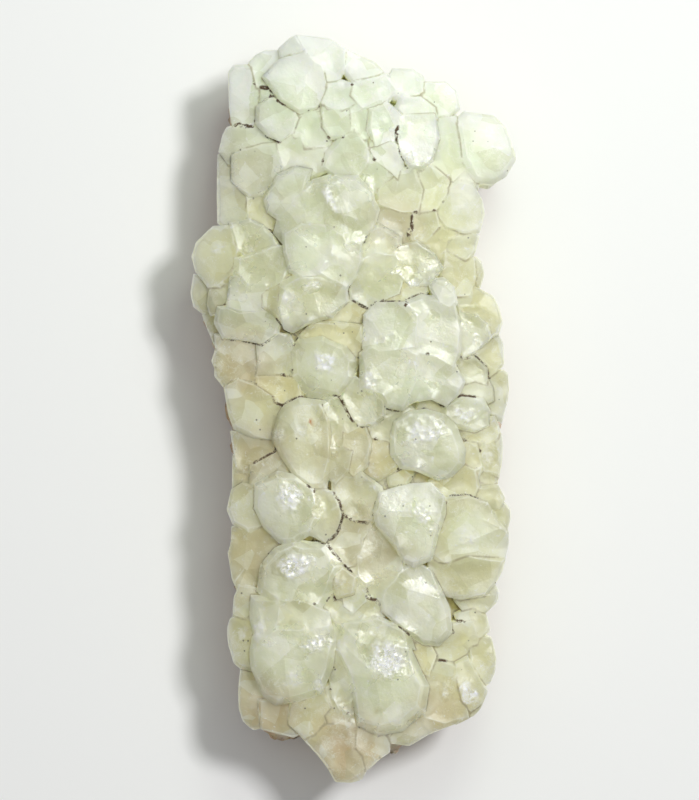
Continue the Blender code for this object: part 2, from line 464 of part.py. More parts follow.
# The rock's plan, which reaches past the crystals in a few ledges
MATRIX_OUTLINE = (
    "-20.3,46 -21,48 -21.2,53 -19,55 -13,57 -8,59 -3,58 2,55.5 7,54 12,52 16,48 22,46 24,43 22,39"
    " 19,36 19.5,31 18,27 20,21.5 21.5,17 23,13 25.4,10.5 25.4,8 23,4 23.5,0 24.9,-2.5 24.8,-4.8"
    " 22.5,-8 22,-12 24,-17 24,-22 22,-27 21,-31 20.5,-36 21.5,-42 20.5,-47 18,-50.5 13,-53.9"
    " 10.2,-55.4 9.6,-56.3 8.6,-56.6 8,-57.7 6.6,-58.5 4.7,-58.3 2,-57.5 -2,-58.5 -6,-56 -8.2,-55.3"
    " -10.6,-56.5 -13.4,-55.7 -15.4,-54.5 -17.2,-54 -18.9,-52.3 -18.3,-46 -18.3,-41 -18.5,-34"
    " -20.3,-30 -21.1,-25.5 -19.4,-20 -20.3,-13.4 -20.7,-10 -20.9,-5.5 -20.7,-3.2 -21.4,-1"
    " -22.1,2 -21.8,8 -23.3,10.4 -25.1,14.6 -24,18 -24.5,24 -22,28.5 -23,31 -23.1,36 -23.1,42"
    " -22.2,45"
)

GROWTH = random.Random(7)


def points_of(text):
    """The x,y points of an outline, in millimetres, counter-clockwise."""
    points = [Vector(float(value) for value in pair.split(",")) for pair in text.split()]
    area = sum(a.x * b.y - b.x * a.y for a, b in zip(points, points[1:] + points[:1]))
    return points if area > 0 else points[::-1]


def middle_of(points):
    return sum(points, Vector((0.0, 0.0))) / len(points)


def crust_level(place):
    """Height of the crystals' shoulders at a place, before each one's own rise."""
    across = min(abs(place.x) / HALF_WIDTH, 1.0)
    along = min(abs(place.y) / HALF_LENGTH, 1.0)
    return CRUST_LEVEL - RIM_FALL * across**2 - END_FALL * along**2


def cut_facet(crystal, point, normal):
    """Slices off what lies beyond a plane and closes the cut with one flat facet."""
    everything = crystal.verts[:] + crystal.edges[:] + crystal.faces[:]
    cut = bmesh.ops.bisect_plane(
        crystal, geom=everything, plane_co=point, plane_no=normal, clear_outer=True
    )
    rim = [item for item in cut["geom_cut"] if isinstance(item, bmesh.types.BMEdge)]
    if rim:
        bmesh.ops.edgenet_fill(crystal, edges=rim)


def spread(outline, rise, field):
    """The outline with each point moved outwards, where that stays inside the field of crystals."""
    middle = middle_of(outline)
    high = min(max((rise - LOW_RISE) / (HIGH_RISE - LOW_RISE), 0.0), 1.0)
    reach = SPREAD[1] + high * (SPREAD[0] - SPREAD[1])
    moved = [point + reach * (point - middle).normalized() for point in outline]
    return [new if inside(new, field) else old for old, new in zip(outline, moved)]


def grow_crystal(outline, rise, flat, facets=2):
    """One crystal: a tapering root, a bevel over its girdle and a table broken by low facets."""
    middle = middle_of(outline)
    radius = sum((point - middle).length for point in outline) / len(outline)
    top = crust_level(middle) + RELIEF * rise
    flat = flat**CRISPNESS
    bevel = BEVEL_STEEPNESS * (1.0 - flat) * radius
    lean = math.radians(FAN_LEAN) * abs(middle.x) / HALF_WIDTH
    lean_axis = Vector((-LEAN_ALONG * middle.y / HALF_LENGTH, math.copysign(1.0, middle.x), 0.0))

    crystal = bmesh.new()
    girdle = crystal.faces.new(
        [crystal.verts.new((*(point - middle), 0.0)) for point in outline]
    )
    lifted = bmesh.ops.extrude_face_region(crystal, geom=[girdle])
    table = [item for item in lifted["geom"] if isinstance(item, bmesh.types.BMVert)]
    drift = TABLE_DRIFT * (1.0 - flat) * radius
    peak = Vector((GROWTH.uniform(-drift, drift), GROWTH.uniform(-drift, drift), 0.0))
    shape = Matrix.Translation(peak + Vector((0.0, 0.0, bevel))) @ Matrix.Diagonal((flat, flat, 1.0, 1.0))
    bmesh.ops.transform(crystal, matrix=shape, verts=table)
    sunk = bmesh.ops.extrude_face_region(crystal, geom=[girdle, *girdle.edges])
    root = [item for item in sunk["geom"] if isinstance(item, bmesh.types.BMVert)]
    depth = top - bevel - ROOT_HEIGHT
    pull = Vector((-ROOT_PULL[0] * middle.x, -ROOT_PULL[1] * middle.y, -depth))
    shape = Matrix.Translation(pull) @ Matrix.Diagonal((ROOT_TAPER, ROOT_TAPER, 1.0, 1.0))
    bmesh.ops.transform(crystal, matrix=shape, verts=root)
    bmesh.ops.recalc_face_normals(crystal, faces=crystal.faces)

    azimuth = GROWTH.uniform(0.0, math.tau)
    for _ in range(facets):
        side = Vector((math.cos(azimuth), math.sin(azimuth), 0.0))
        azimuth += GROWTH.uniform(*FACET_TURN)
        tilt = math.radians(GROWTH.uniform(*FACET_TILT))
        normal = side * math.sin(tilt) + Vector((0.0, 0.0, math.cos(tilt)))
        ridge = peak + side * radius * flat * GROWTH.uniform(*FACET_REACH) + Vector((0.0, 0.0, bevel))
        cut_facet(crystal, ridge, normal)

    place = Matrix.Translation((middle.x, middle.y, top - bevel)) @ Matrix.Rotation(lean, 4, lean_axis)
    bmesh.ops.transform(crystal, matrix=Matrix.Scale(MM, 4) @ place, verts=crystal.verts)
    return crystal


def mesh_object(name, shape, collection):
    """A mesh object made from a bmesh, which is freed."""
    mesh = bpy.data.meshes.new(name)
    shape.to_mesh(mesh)
    shape.free()
    made = bpy.data.objects.new(name, mesh)
    collection.objects.link(made)
    return made


def as_cutter(helper):
    helper.hide_render = True
    helper.display_type = "WIRE"
    return helper


def combine(target, other, operation):
    modifier = target.modifiers.new(operation.title(), "BOOLEAN")
    modifier.operation = operation
    modifier.object = other
    modifier.use_self = operation == "UNION"


def domed_slab(name, outline, low, collection):
    """A slab over an outline whose top steps up in sloping rings towards the middle."""
    shape = bmesh.new()
    top = shape.faces.new([shape.verts.new((*point, low)) for point in outline])
    height, share = low, 1.0
    for next_share, next_height in CRUST_DOME:
        whole = [top] if height == low else [top, *top.edges]
        lifted = bmesh.ops.extrude_face_region(shape, geom=whole)
        top = next(item for item in lifted["geom"] if isinstance(item, bmesh.types.BMFace))
        shrink = next_share / share
        step = Matrix.Translation((0.0, 0.0, next_height - height))
        move = step @ Matrix.Diagonal((shrink, shrink, 1.0, 1.0))
        bmesh.ops.transform(shape, matrix=move, verts=top.verts)
        height, share = next_height, next_share
    bmesh.ops.recalc_face_normals(shape, faces=shape.faces)
    bmesh.ops.scale(shape, vec=(MM,) * 3, verts=shape.verts)
    return mesh_object(name, shape, collection)


def settle(part):
    """Works the Booleans out and keeps the outer shell, so that no void stays sealed between crystals."""
    shape = bmesh.new()
    shape.from_object(part, bpy.context.evaluated_depsgraph_get())
    waiting = set(shape.faces)
    shells = []
    while waiting:
        shell, front = set(), {waiting.pop()}
        while front:
            shell |= front
            front = {near for face in front for edge in face.edges for near in edge.link_faces} - shell
        waiting -= shell
        shells.append(shell)
    outer = max(shells, key=lambda shell: sum(face.calc_area() for face in shell))
    inner = [face for face in shape.faces if face not in outer]
    bmesh.ops.delete(shape, geom=inner, context="FACES")
    part.modifiers.clear()
    shape.to_mesh(part.data)
    shape.free()


def inside(point, outline):
    """Whether a point is within an outline, by the crossings of a ray along +X."""
    crossings = 0
    for a, b in zip(outline, outline[1:] + outline[:1]):
        if (a.y > point.y) != (b.y > point.y):
            crossings += point.x < a.x + (b.x - a.x) * (point.y - a.y) / (b.y - a.y)
    return crossings % 2 == 1


def fill_crystals(field, grown):
    """Small crystals on a jittered triangular lattice, wherever no large one covers their middle."""
    rows = int(HALF_LENGTH / (FILL_SPACING * ROW_PITCH))
    columns = int(HALF_WIDTH / FILL_SPACING) + 1
    for row in range(-rows, rows + 1):
        for column in range(-columns, columns + 1):
            place = Vector((column + 0.5 * (row % 2), ROW_PITCH * row)) * FILL_SPACING
            place += Vector([GROWTH.uniform(-FILL_DRIFT, FILL_DRIFT) for _ in range(2)])
            if not inside(place, field) or any(inside(place, outline) for outline in grown):
                continue
            turn = GROWTH.uniform(0.0, math.tau)
            angles = [turn + math.tau * side / FILL_SIDES for side in range(FILL_SIDES)]
            reach = [GROWTH.uniform(*FILL_REACH) for _ in angles]
            ring = [place + Vector((math.cos(a), math.sin(a))) * r for a, r in zip(angles, reach)]
            yield ring, GROWTH.uniform(*FILL_RISE)


def rock_terrain(name, lift, collection):
    """A block whose top is the rock's uneven surface, lifted by a clearance."""
    shape = bmesh.new()
    width, length = (2.0 * (half + TERRAIN_MARGIN) for half in (HALF_WIDTH, HALF_LENGTH))
    columns, rows = int(width / TERRAIN_CELL), int(length / TERRAIN_CELL)
    bmesh.ops.create_grid(shape, x_segments=columns, y_segments=rows, size=0.5)
    bmesh.ops.scale(shape, vec=(width, length, 1.0), verts=shape.verts)
    for vert in shape.verts:
        swell = noise.noise(vert.co / TERRAIN_SWELL)
        vert.co.z = MATRIX_TOP + lift + TERRAIN_RELIEF * swell
    bmesh.ops.triangulate(shape, faces=shape.faces)
    surface = shape.faces[:]
    sunk = bmesh.ops.extrude_face_region(shape, geom=surface)
    for item in sunk["geom"]:
        if isinstance(item, bmesh.types.BMVert):
            item.co.z = BELOW_FLOOR
    bmesh.ops.recalc_face_normals(shape, faces=shape.faces)
    bmesh.ops.scale(shape, vec=(MM,) * 3, verts=shape.verts)
    return as_cutter(mesh_object(name, shape, collection))


def build_crust(parts, cutters):
    """All crystals and the crust under them as one solid, cut off at the rock's surface."""
    slab_outline, field = points_of(SLAB_OUTLINE), points_of(MATRIX_OUTLINE)
    outlines = [spread(points_of(crystal.outline), crystal.rise, field) for crystal in CRYSTALS]
    grown = [grow_crystal(ring, c.rise, c.flat) for ring, c in zip(outlines, CRYSTALS)]
    small = fill_crystals(slab_outline, outlines)
    grown += [grow_crystal(ring, rise, FILL_FLAT, facets=0) for ring, rise in small]
    crystals = bmesh.new()
    for crystal in grown:
        mesh = bpy.data.meshes.new("crystal")
        crystal.to_mesh(mesh)
        crystal.free()
        crystals.from_mesh(mesh)
        bpy.data.meshes.remove(mesh)
    bunch = as_cutter(mesh_object("crystals", crystals, cutters))
    crust = domed_slab("crystal_crust", slab_outline, ROOT_HEIGHT, parts)
    combine(crust, bunch, "UNION")
    combine(crust, rock_terrain("rock_surface_raised", SEAT_GAP, cutters), "DIFFERENCE")
    settle(crust)
    return crust


def build_matrix(parts, cutters):
    """The rock: a broken-edged slab, flat underneath, with its uneven surface under the crystals."""
    outline = points_of(MATRIX_OUTLINE)
    shape = bmesh.new()
    rings = []
    for height, inset in FLANK:
        ring = []
        for before, point, after in zip(outline[-1:] + outline, outline, outline[1:] + outline[:1]):
            along = (after - before).normalized()
            place = Vector((point.x, point.y, LUMP_SQUAT * height))
            lumps = sum(depth * max(noise.noise(place / size), 0.0) for size, depth in FLANK_LUMPS)
            lumps *= 1.0 - min(height / MATRIX_TOP, 1.0) ** LUMP_FADE
            inward = Vector((-along.y, along.x)) * (inset + lumps)
            ring.append(shape.verts.new((*(point + inward), height)))
        rings.append(ring)
    edges = [
        [shape.edges.new((a, b)) for a, b in zip(ring, ring[1:] + ring[:1])] for ring in rings
    ]
    for lower, upper in zip(edges, edges[1:]):
        bmesh.ops.bridge_loops(shape, edges=lower + upper)
    shape.faces.new(rings[0])
    shape.faces.new(rings[-1])
    bmesh.ops.recalc_face_normals(shape, faces=shape.faces)
    bmesh.ops.scale(shape, vec=(MM,) * 3, verts=shape.verts)
    rock = mesh_object("matrix_base", shape, parts)
    combine(rock, rock_terrain("rock_surface", 0.0, cutters), "INTERSECT")
    settle(rock)
    return rock


def finish(part, name, look):
    """Gives a part its material."""
    material = bpy.data.materials.new(name)
    material.use_nodes = True
    shader = material.node_tree.nodes["Principled BSDF"]
    shader.inputs["Base Color"].default_value = look["colour"]
    shader.inputs["Roughness"].default_value = look["roughness"]
    shader.inputs["Transmission Weight"].default_value = look["transmission"]
    part.data.materials.append(material)


def main():
    for old in list(bpy.data.objects):
        bpy.data.objects.remove(old)
    parts = bpy.data.collections.new("calcite_cluster")
    cutters = bpy.data.collections.new("cutters")
    for collection in (parts, cutters):
        bpy.context.scene.collection.children.link(collection)
    finish(build_crust(parts, cutters), "calcite", CALCITE)
    finish(build_matrix(parts, cutters), "matrix_rock", ROCK)


main()
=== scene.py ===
"""Dresses the calcite cluster: its intergrown crystals, the rock they stand on and a plain studio.

Lengths are metres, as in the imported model. The tables of places are millimetres from its origin,
with x across the plate and y along it.
"""

import math
import random

import bmesh
import bpy
import numpy as np
from bpy.props import FloatProperty, FloatVectorProperty, IntProperty, PointerProperty
from mathutils import Euler, Matrix, Vector, kdtree, noise
from mathutils.bvhtree import BVHTree


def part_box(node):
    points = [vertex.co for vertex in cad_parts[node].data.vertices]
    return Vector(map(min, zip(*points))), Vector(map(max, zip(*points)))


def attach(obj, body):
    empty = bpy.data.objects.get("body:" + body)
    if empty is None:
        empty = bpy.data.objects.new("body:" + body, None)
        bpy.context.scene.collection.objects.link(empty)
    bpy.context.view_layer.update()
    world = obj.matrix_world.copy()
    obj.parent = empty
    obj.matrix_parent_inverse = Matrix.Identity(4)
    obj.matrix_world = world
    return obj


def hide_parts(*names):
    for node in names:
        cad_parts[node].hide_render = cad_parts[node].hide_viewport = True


bl_info = {
    "name": "Calcite Cluster",
    "version": (1, 0, 0),
    "blender": (4, 5, 0),
    "location": "View3D > Sidebar > Calcite",
    "description": "Dresses a calcite cluster on its rock and lights it in a plain studio",
    "category": "Object",
}

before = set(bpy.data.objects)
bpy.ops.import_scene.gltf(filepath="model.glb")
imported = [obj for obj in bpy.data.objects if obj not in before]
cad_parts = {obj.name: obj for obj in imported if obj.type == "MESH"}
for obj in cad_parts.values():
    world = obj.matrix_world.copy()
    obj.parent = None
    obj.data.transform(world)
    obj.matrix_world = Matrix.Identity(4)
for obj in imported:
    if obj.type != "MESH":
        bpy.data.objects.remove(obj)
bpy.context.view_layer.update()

MM = 0.001
CRUST_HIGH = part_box("crystal_crust")[1]
ROCK_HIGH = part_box("matrix_base")[1]
UP = Vector((0.0, 0.0, 1.0))

# How the crystals' shoulders lie: height along the middle, and the fall to the long rims and ends
DOME_TOP, RIM_FALL, END_FALL = 19.6 * MM, 4.6 * MM, 2.0 * MM

# Angles in degrees between two facets
VALLEY = -9.0  # below this, an edge is a seam between crystals
CRYSTAL_END = -4.0  # below this, it ends a crystal
RIDGE = 24.0  # above this, it is a ridge, which is smoothed and gets a painted highlight
FACET = 5.0  # above this, it stays a crisp edge
COPLANAR = 0.6  # below this, either way, the two facets are one

# Shares by which a face looks up
DOWN = -0.6  # below this, a face belongs to the underside
SHOULDER = 0.5  # above this, it belongs to a crystal's top

TURNS = 6  # the most times that an edge is halved
WELD = 0.002 * MM  # corners nearer than this are one
SPACING = 0.12 * MM  # between the points that stand for a line
CREASE = 0.35 * MM  # reach of the fine mesh beside a valley or a ridge
SNAP = 1.2 * MM  # farthest that a stroke of dirt moves to reach its valley
SEAM_FILL = 1.8  # reach in mm of the fill beside a valley on the crystals' tops
ROOT_FILL = 2.2  # and on their sides
DIP = 0.5 * MM  # how far the crystals' underside sinks into the rock
OVERHANG = 0.1  # the most that a step stands out, as a share of its height
ELSEWHERE = Vector((9.3, -1.5, -8.0))  # far enough off for unlike noise
LEAN = 0.32  # how far the flakes of a healed crack lean, in radians, as a standard deviation
VIEW_CENTRE = (-0.67 * MM, 1.5 * MM)  # the camera hangs over this place

# Bright places inside the crystals, where healed cracks catch the light: x, y, half sizes in mm,
# turn in degrees, strength
VEILS = (
    (-10.0, -26.0, 3.1, 2.2, 20, 1.0),
    (-10.5, -14.5, 3.1, 2.6, 60, 0.75),
    (5.5, -41.5, 3.1, 3.8, 10, 0.85),
    (19.3, -47.5, 1.7, 2.6, 15, 1.0),
    (18.5, -0.7, 2.6, 1.4, 0, 0.7),
    (11.8, -3.5, 4.3, 3.1, 0, 0.6),
    (11.5, -17.5, 1.7, 3.4, 25, 0.5),
    (-4.7, 7.8, 2.2, 1.9, 0, 0.9),
    (-6.5, -39.0, 2.9, 1.6, 30, 0.6),
    (-15.8, -36.5, 1.1, 2.6, 0, 0.6),
    (-18.5, -37.3, 1.0, 1.9, 0, 0.5),
    (-10.0, -45.0, 2.6, 1.7, 10, 0.45),
    (-5.7, -46.0, 1.2, 1.7, 0, 0.5),
    (-12.5, -4.2, 1.3, 1.9, 0, 0.5),
    (-8.8, -3.5, 1.6, 2.2, 0, 0.45),
    (-4.0, 35.0, 1.1, 2.6, 20, 0.7),
    (-17.3, 26.7, 1.2, 1.2, 0, 0.5),
    (-22.7, 26.8, 1.6, 1.1, 0, 0.5),
    (-7.0, 20.3, 2.2, 1.3, 15, 0.55),
    (-10.5, 18.5, 1.7, 1.4, 0, 0.4),
    (3.0, -9.7, 1.2, 1.2, 0, 0.4),
    (19.0, -21.8, 1.9, 1.2, 0, 0.4),
    (-2.3, -28.7, 1.1, 1.1, 0, 0.6),
    (22.5, -8.0, 1.4, 1.9, 0, 0.5),
    (16.0, -30.7, 2.4, 0.7, 0, 0.4),
    (2.6, 5.0, 1.6, 2.4, 0, 0.6),
    (6.0, 11.5, 1.9, 1.3, 0, 0.4),
    (10.0, 21.0, 1.7, 1.2, 0, 0.4),
    (15.3, -47.0, 1.2, 1.7, 0, 0.5),
)

# Dark dirt caught in the valleys between crystals: strokes of x, y points in mm
DIRT = (
    "-16,54.7 -13.5,52 -11.5,50.5",
    "-20,47.7 -16.5,47.8",
    "-14.2,45.7 -12.3,44.5",
    "6.3,47 8,41.5 9,39.8",
    "-14,29.7 -13.5,28.8",
    "10.3,32.5 10,30.5 9.2,29.4 9.1,28.5",
    "-0.3,20.3 -0.2,18.6 2.7,17.2 5,18.4",
    "5.5,17.3 8,17 11,19.7",
    "-12.5,15 -11.2,12.9 -10,12.8",
    "-21.5,12 -18,11.7 -15.5,10.8 -14,11.2",
    "-10,10.5 -8.7,12.2",
    "-10.3,6.5 -12,5.2",
    "-13.3,1.9 -12,1.3 -11.5,0.4 -9,1.4 -6.5,2",
    "-3.2,1.6 -1.8,1.7 0.8,-2.2 2.3,-2.4",
    "-7.5,1 -5,0.3",
    "18.2,8.8 19.8,8 22.5,5.2",
    "14.6,1.2 15.5,0.7 18,1.9 20,1.9",
    "5.3,0.5 6.1,0.6 7.9,0",
    "-13,-6.5 -13.7,-8.5 -16,-9.9",
    "-7.3,-12.4 -6.4,-13.9 -4,-14 -2.9,-14.7 -2.1,-17.5 -3.2,-20.5 -4.5,-22.3 -0.5,-27",
    "-2.2,-17.5 0.5,-17.4 2.3,-17.8 3,-16.7",
    "-6.9,-21.3 -6.5,-22.8 -5,-22.5",
    "8,-10.5 7.3,-12.5",
    "15.8,-15.4 19.1,-15.3 20.9,-15.8",
    "-5.1,-27.7 -4.9,-30",
    "-4,-32 -3,-31.2",
    "1.5,-30 2.8,-32.3 4.3,-32.6",
    "15.5,-32 16.7,-33.5 17.5,-35.3 18.5,-36 16.3,-37.5",
    "7.8,-36 9,-37 10,-37.3",
    "14.5,-41 14.3,-41.8 15.3,-42.5",
)
DIRT_SPOTS = (
    "-16.4,48.2 -9.7,47 -5.8,50.3 -3.7,45.4 -1.8,45.3 -1.3,55 0,54 3.5,41.5 16.5,47.5 -4.8,41.2"
    " 3.8,31.7 7,27.2 1.5,28 15.6,34 17.6,33.8 13.4,33 13.8,30.3 -16.7,3.7 0.7,8.6 5.3,7.1 12.4,9.8"
    " 17.3,7.4 11.6,-0.2 3.7,-5 18.5,-5.6 21,-7 11.6,-6.2 0.4,-13.8 3.9,-15.5 1.3,-19.5 12.8,-27.6"
    " -6.6,-32.6 -16.5,-30.3 10.7,-41.5 -19.3,-39.7 -3.5,-43 -3,-46.5 -1.5,-51 1,-52.7 5.7,-54"
)
RUST_SPOT = (-7.1, -2.2, 0.5)  # x, y and radius in mm

# How colour shifts over the plate, at places in mm: x, y, half size, whiteness, tan stain.
# Towards the top end the whiteness is painted glare; elsewhere it pales single crystals.
TINTS = (
    # The top end, whitened with painted glare
    (8.0, 50.0, 17.0, 0.95, 0.0),
    (-6.0, 58.0, 10.0, 0.95, 0.0),
    (-15.0, 52.5, 8.5, 0.85, 0.0),
    (22.0, 44.0, 9.0, 0.9, 0.0),
    (9.0, -18.0, 5.5, 0.4, 0.0),
    (20.0, -20.5, 6.0, 0.45, 0.0),
    (10.0, 12.5, 8.0, 0.4, 0.0),
    (10.5, 4.5, 7.0, 0.4, 0.0),
    (-5.0, 7.0, 5.0, 0.35, 0.0),
    (-6.0, 26.0, 6.0, 0.45, 0.0),
    (-11.0, -41.0, 6.0, 0.3, 0.0),
    (5.0, -45.0, 7.0, 0.25, 0.0),
    (-18.0, 19.0, 6.0, 0.15, 0.0),
    (0.0, 31.0, 5.0, 0.35, 0.0),
    (20.0, 2.0, 5.0, 0.3, 0.0),
    (-19.0, 42.0, 9.0, 0.0, 0.9),
    (-20.5, 53.0, 3.5, 0.0, 0.5),
    (-19.0, 8.0, 8.0, 0.0, 0.7),
    (-16.0, -8.0, 7.0, 0.0, 0.6),
    (-18.0, -25.0, 8.0, 0.0, 0.45),
    (-1.0, -57.0, 9.0, 0.0, 0.9),
    (-15.0, -51.0, 8.0, 0.0, 0.75),
    (14.0, -52.0, 8.0, 0.0, 0.5),
    (3.0, -22.0, 9.0, 0.0, 0.5),
    (-2.0, -8.0, 8.0, 0.0, 0.35),
    (7.0, 31.0, 6.0, 0.0, 0.6),
)


def linear(hex_colour):
    """An sRGB hex colour as linear RGBA."""
    channels = [int(hex_colour[i : i + 2], 16) / 255 for i in (1, 3, 5)]
    return (*[c / 12.92 if c <= 0.04045 else ((c + 0.055) / 1.055) ** 2.4 for c in channels], 1.0)


class CrystalSettings(bpy.types.PropertyGroup):
    """Sizes and colours of the crystals."""

    edge_facet: FloatProperty(
        name="Edge facet",
        description="Longest mesh edge near crystal edges",
        default=0.6 * MM,
        unit="LENGTH",
    )
    face_facet: FloatProperty(
        name="Face facet",
        description="Longest mesh edge on open faces",
        default=1.2 * MM,
        unit="LENGTH",
    )
    under_facet: FloatProperty(
        name="Under facet",
        description="Longest mesh edge underneath",
        default=2.5 * MM,
        unit="LENGTH",
    )
    edge_wear: FloatProperty(
        name="Edge wear",
        description="Reach of the wear on crystal edges",
        default=0.24 * MM,
        unit="LENGTH",
    )
    ease: FloatProperty(
        name="Ease",
        description="Share of the crystals' relief that is taken away",
        default=0.2,
    )
    fill: FloatProperty(
        name="Fill",
        description="How far the valleys are grown shut",
        default=0.75 * MM,
        unit="LENGTH",
    )
    swell: FloatProperty(
        name="Swell",
        description="Height of the gentle curving of the faces",
        default=0.12 * MM,
        unit="LENGTH",
    )
    break_depth: FloatProperty(
        name="Break depth",
        description="Height of the steps on the broken sides",
        default=0.75 * MM,
        unit="LENGTH",
    )
    stagger: FloatProperty(
        name="Stagger",
        description="How far the crystals' roots wander from upright",
        default=1.1 * MM,
        unit="LENGTH",
    )
    clear: FloatProperty(
        name="Clear",
        description="Share of the light that passes straight through",
        default=0.4,
    )
    scatter: FloatProperty(
        name="Scatter",
        description="How far light spreads in the milky parts",
        default=9.0 * MM,
        unit="LENGTH",
    )
    tall_tint: FloatVectorProperty(
        name="Tall tint",
        description="Colour of tall crystals",
        default=linear("#F3F7D3")[:3],
        subtype="COLOR",
    )
    low_tint: FloatVectorProperty(
        name="Low tint",
        description="Colour of low crystals",
        default=linear("#E6E0AC")[:3],
        subtype="COLOR",
    )
    stain_tint: FloatVectorProperty(
        name="Stain tint",
        description="Colour of the stained rims",
        default=linear("#D8C39C")[:3],
        subtype="COLOR",
    )


class CrackSettings(bpy.types.PropertyGroup):
    """Sizes of the healed cracks inside the crystals."""

    flake: FloatProperty(
        name="Flake",
        description="Size of one flake of a crack",
        default=0.42 * MM,
        unit="LENGTH",
    )
    film: FloatProperty(
        name="Film",
        description="Thickness of a flake",
        default=0.03 * MM,
        unit="LENGTH",
    )
    least_depth: FloatProperty(
        name="Least depth",
        description="Nearest to the face above",
        default=0.35 * MM,
        unit="LENGTH",
    )
    most_depth: FloatProperty(
        name="Most depth",
        description="Farthest from the face above",
        default=1.5 * MM,
        unit="LENGTH",
    )
    crowding: FloatProperty(
        name="Crowding",
        description="Flakes to a square millimetre",
        default=9.0,
    )
    seed: IntProperty(
        name="Seed",
        description="Seed of the flakes' places and tilts",
        default=5,
    )


class RockSettings(bpy.types.PropertyGroup):
    """Sizes and colours of the rock."""

    grain: FloatProperty(
        name="Grain",
        description="Size of the rock's grains",
        default=0.5 * MM,
        unit="LENGTH",
    )
    pitting: FloatProperty(
        name="Pitting",
        description="Depth of its broken surface",
        default=0.35 * MM,
        unit="LENGTH",
    )
    step: FloatProperty(
        name="Step",
        description="Height of the steps on its broken sides",
        default=1.0 * MM,
        unit="LENGTH",
    )
    facet: FloatProperty(
        name="Facet",
        description="Longest mesh edge on the rock",
        default=1.1 * MM,
        unit="LENGTH",
    )
    hidden_facet: FloatProperty(
        name="Hidden facet",
        description="Longest mesh edge where it is hidden",
        default=3 * MM,
        unit="LENGTH",
    )
    dark_tint: FloatVectorProperty(
        name="Dark tint",
        description="Its stained patches",
        default=linear("#B89C7A")[:3],
        subtype="COLOR",
    )
    pale_tint: FloatVectorProperty(
        name="Pale tint",
        description="Its fresh patches",
        default=linear("#E2C5A0")[:3],
        subtype="COLOR",
    )


class StageSettings(bpy.types.PropertyGroup):
    """The studio."""

    reach: FloatProperty(
        name="Camera height",
        description="Camera above the rest surface",
        default=1.1,
        unit="LENGTH",
    )
    view_height: FloatProperty(
        name="View",
        description="Length of the plate's surroundings in view",
        default=0.1333,
        unit="LENGTH",
    )
    floor_size: FloatProperty(
        name="Floor size",
        description="Width of the sheet of paper",
        default=3.0,
        unit="LENGTH",
    )
    air: FloatProperty(
        name="Air",
        description="Strength of the light from all around",
        default=0.28,
    )
    paper_tint: FloatVectorProperty(
        name="Paper tint",
        description="Colour of the paper",
        default=linear("#EDEDED")[:3],
        subtype="COLOR",
    )


# --------------------------------------------------------------------------- nodes


def add(tree, kind, settings=(), out=0, **inputs):
    """Adds a node with its settings and links, and gives one of its outputs.

    An input goes by its name, with _ for a space, or by its number after a _.
    """
    node = tree.nodes.new(kind)
    for name, value in dict(settings).items():
        setattr(node, name, value)
    for name, value in inputs.items():
        socket = node.inputs[int(name[1:]) if name[0] == "_" else name.replace("_", " ")]
        if isinstance(value, bpy.types.NodeSocket):
            tree.links.new(value, socket)
        else:
            socket.default_value = value
    return node.outputs[out] if len(node.outputs) else node


def empty_material(name):
    """A new material and its cleared node tree."""
    material = bpy.data.materials.new(name)
    material.use_nodes = True
    material.node_tree.nodes.clear()
    return material, material.node_tree


def every(size):
    """Scale of a pattern whose marks come every so many millimetres."""
    return 1.0 / (size * MM)


# --------------------------------------------------------------------------- materials

CALCITE_IOR = 1.6  # between calcite's two, 1.66 and 1.49

COLOUR = {"data_type": "RGBA"}
SOFT = {"interpolation_type": "SMOOTHSTEP"}
TIMES = {"operation": "MULTIPLY"}
PLUS = {"operation": "ADD"}
MINUS = {"operation": "SUBTRACT"}
SIZE = {"operation": "ABSOLUTE"}
MOST = {"operation": "MAXIMUM"}


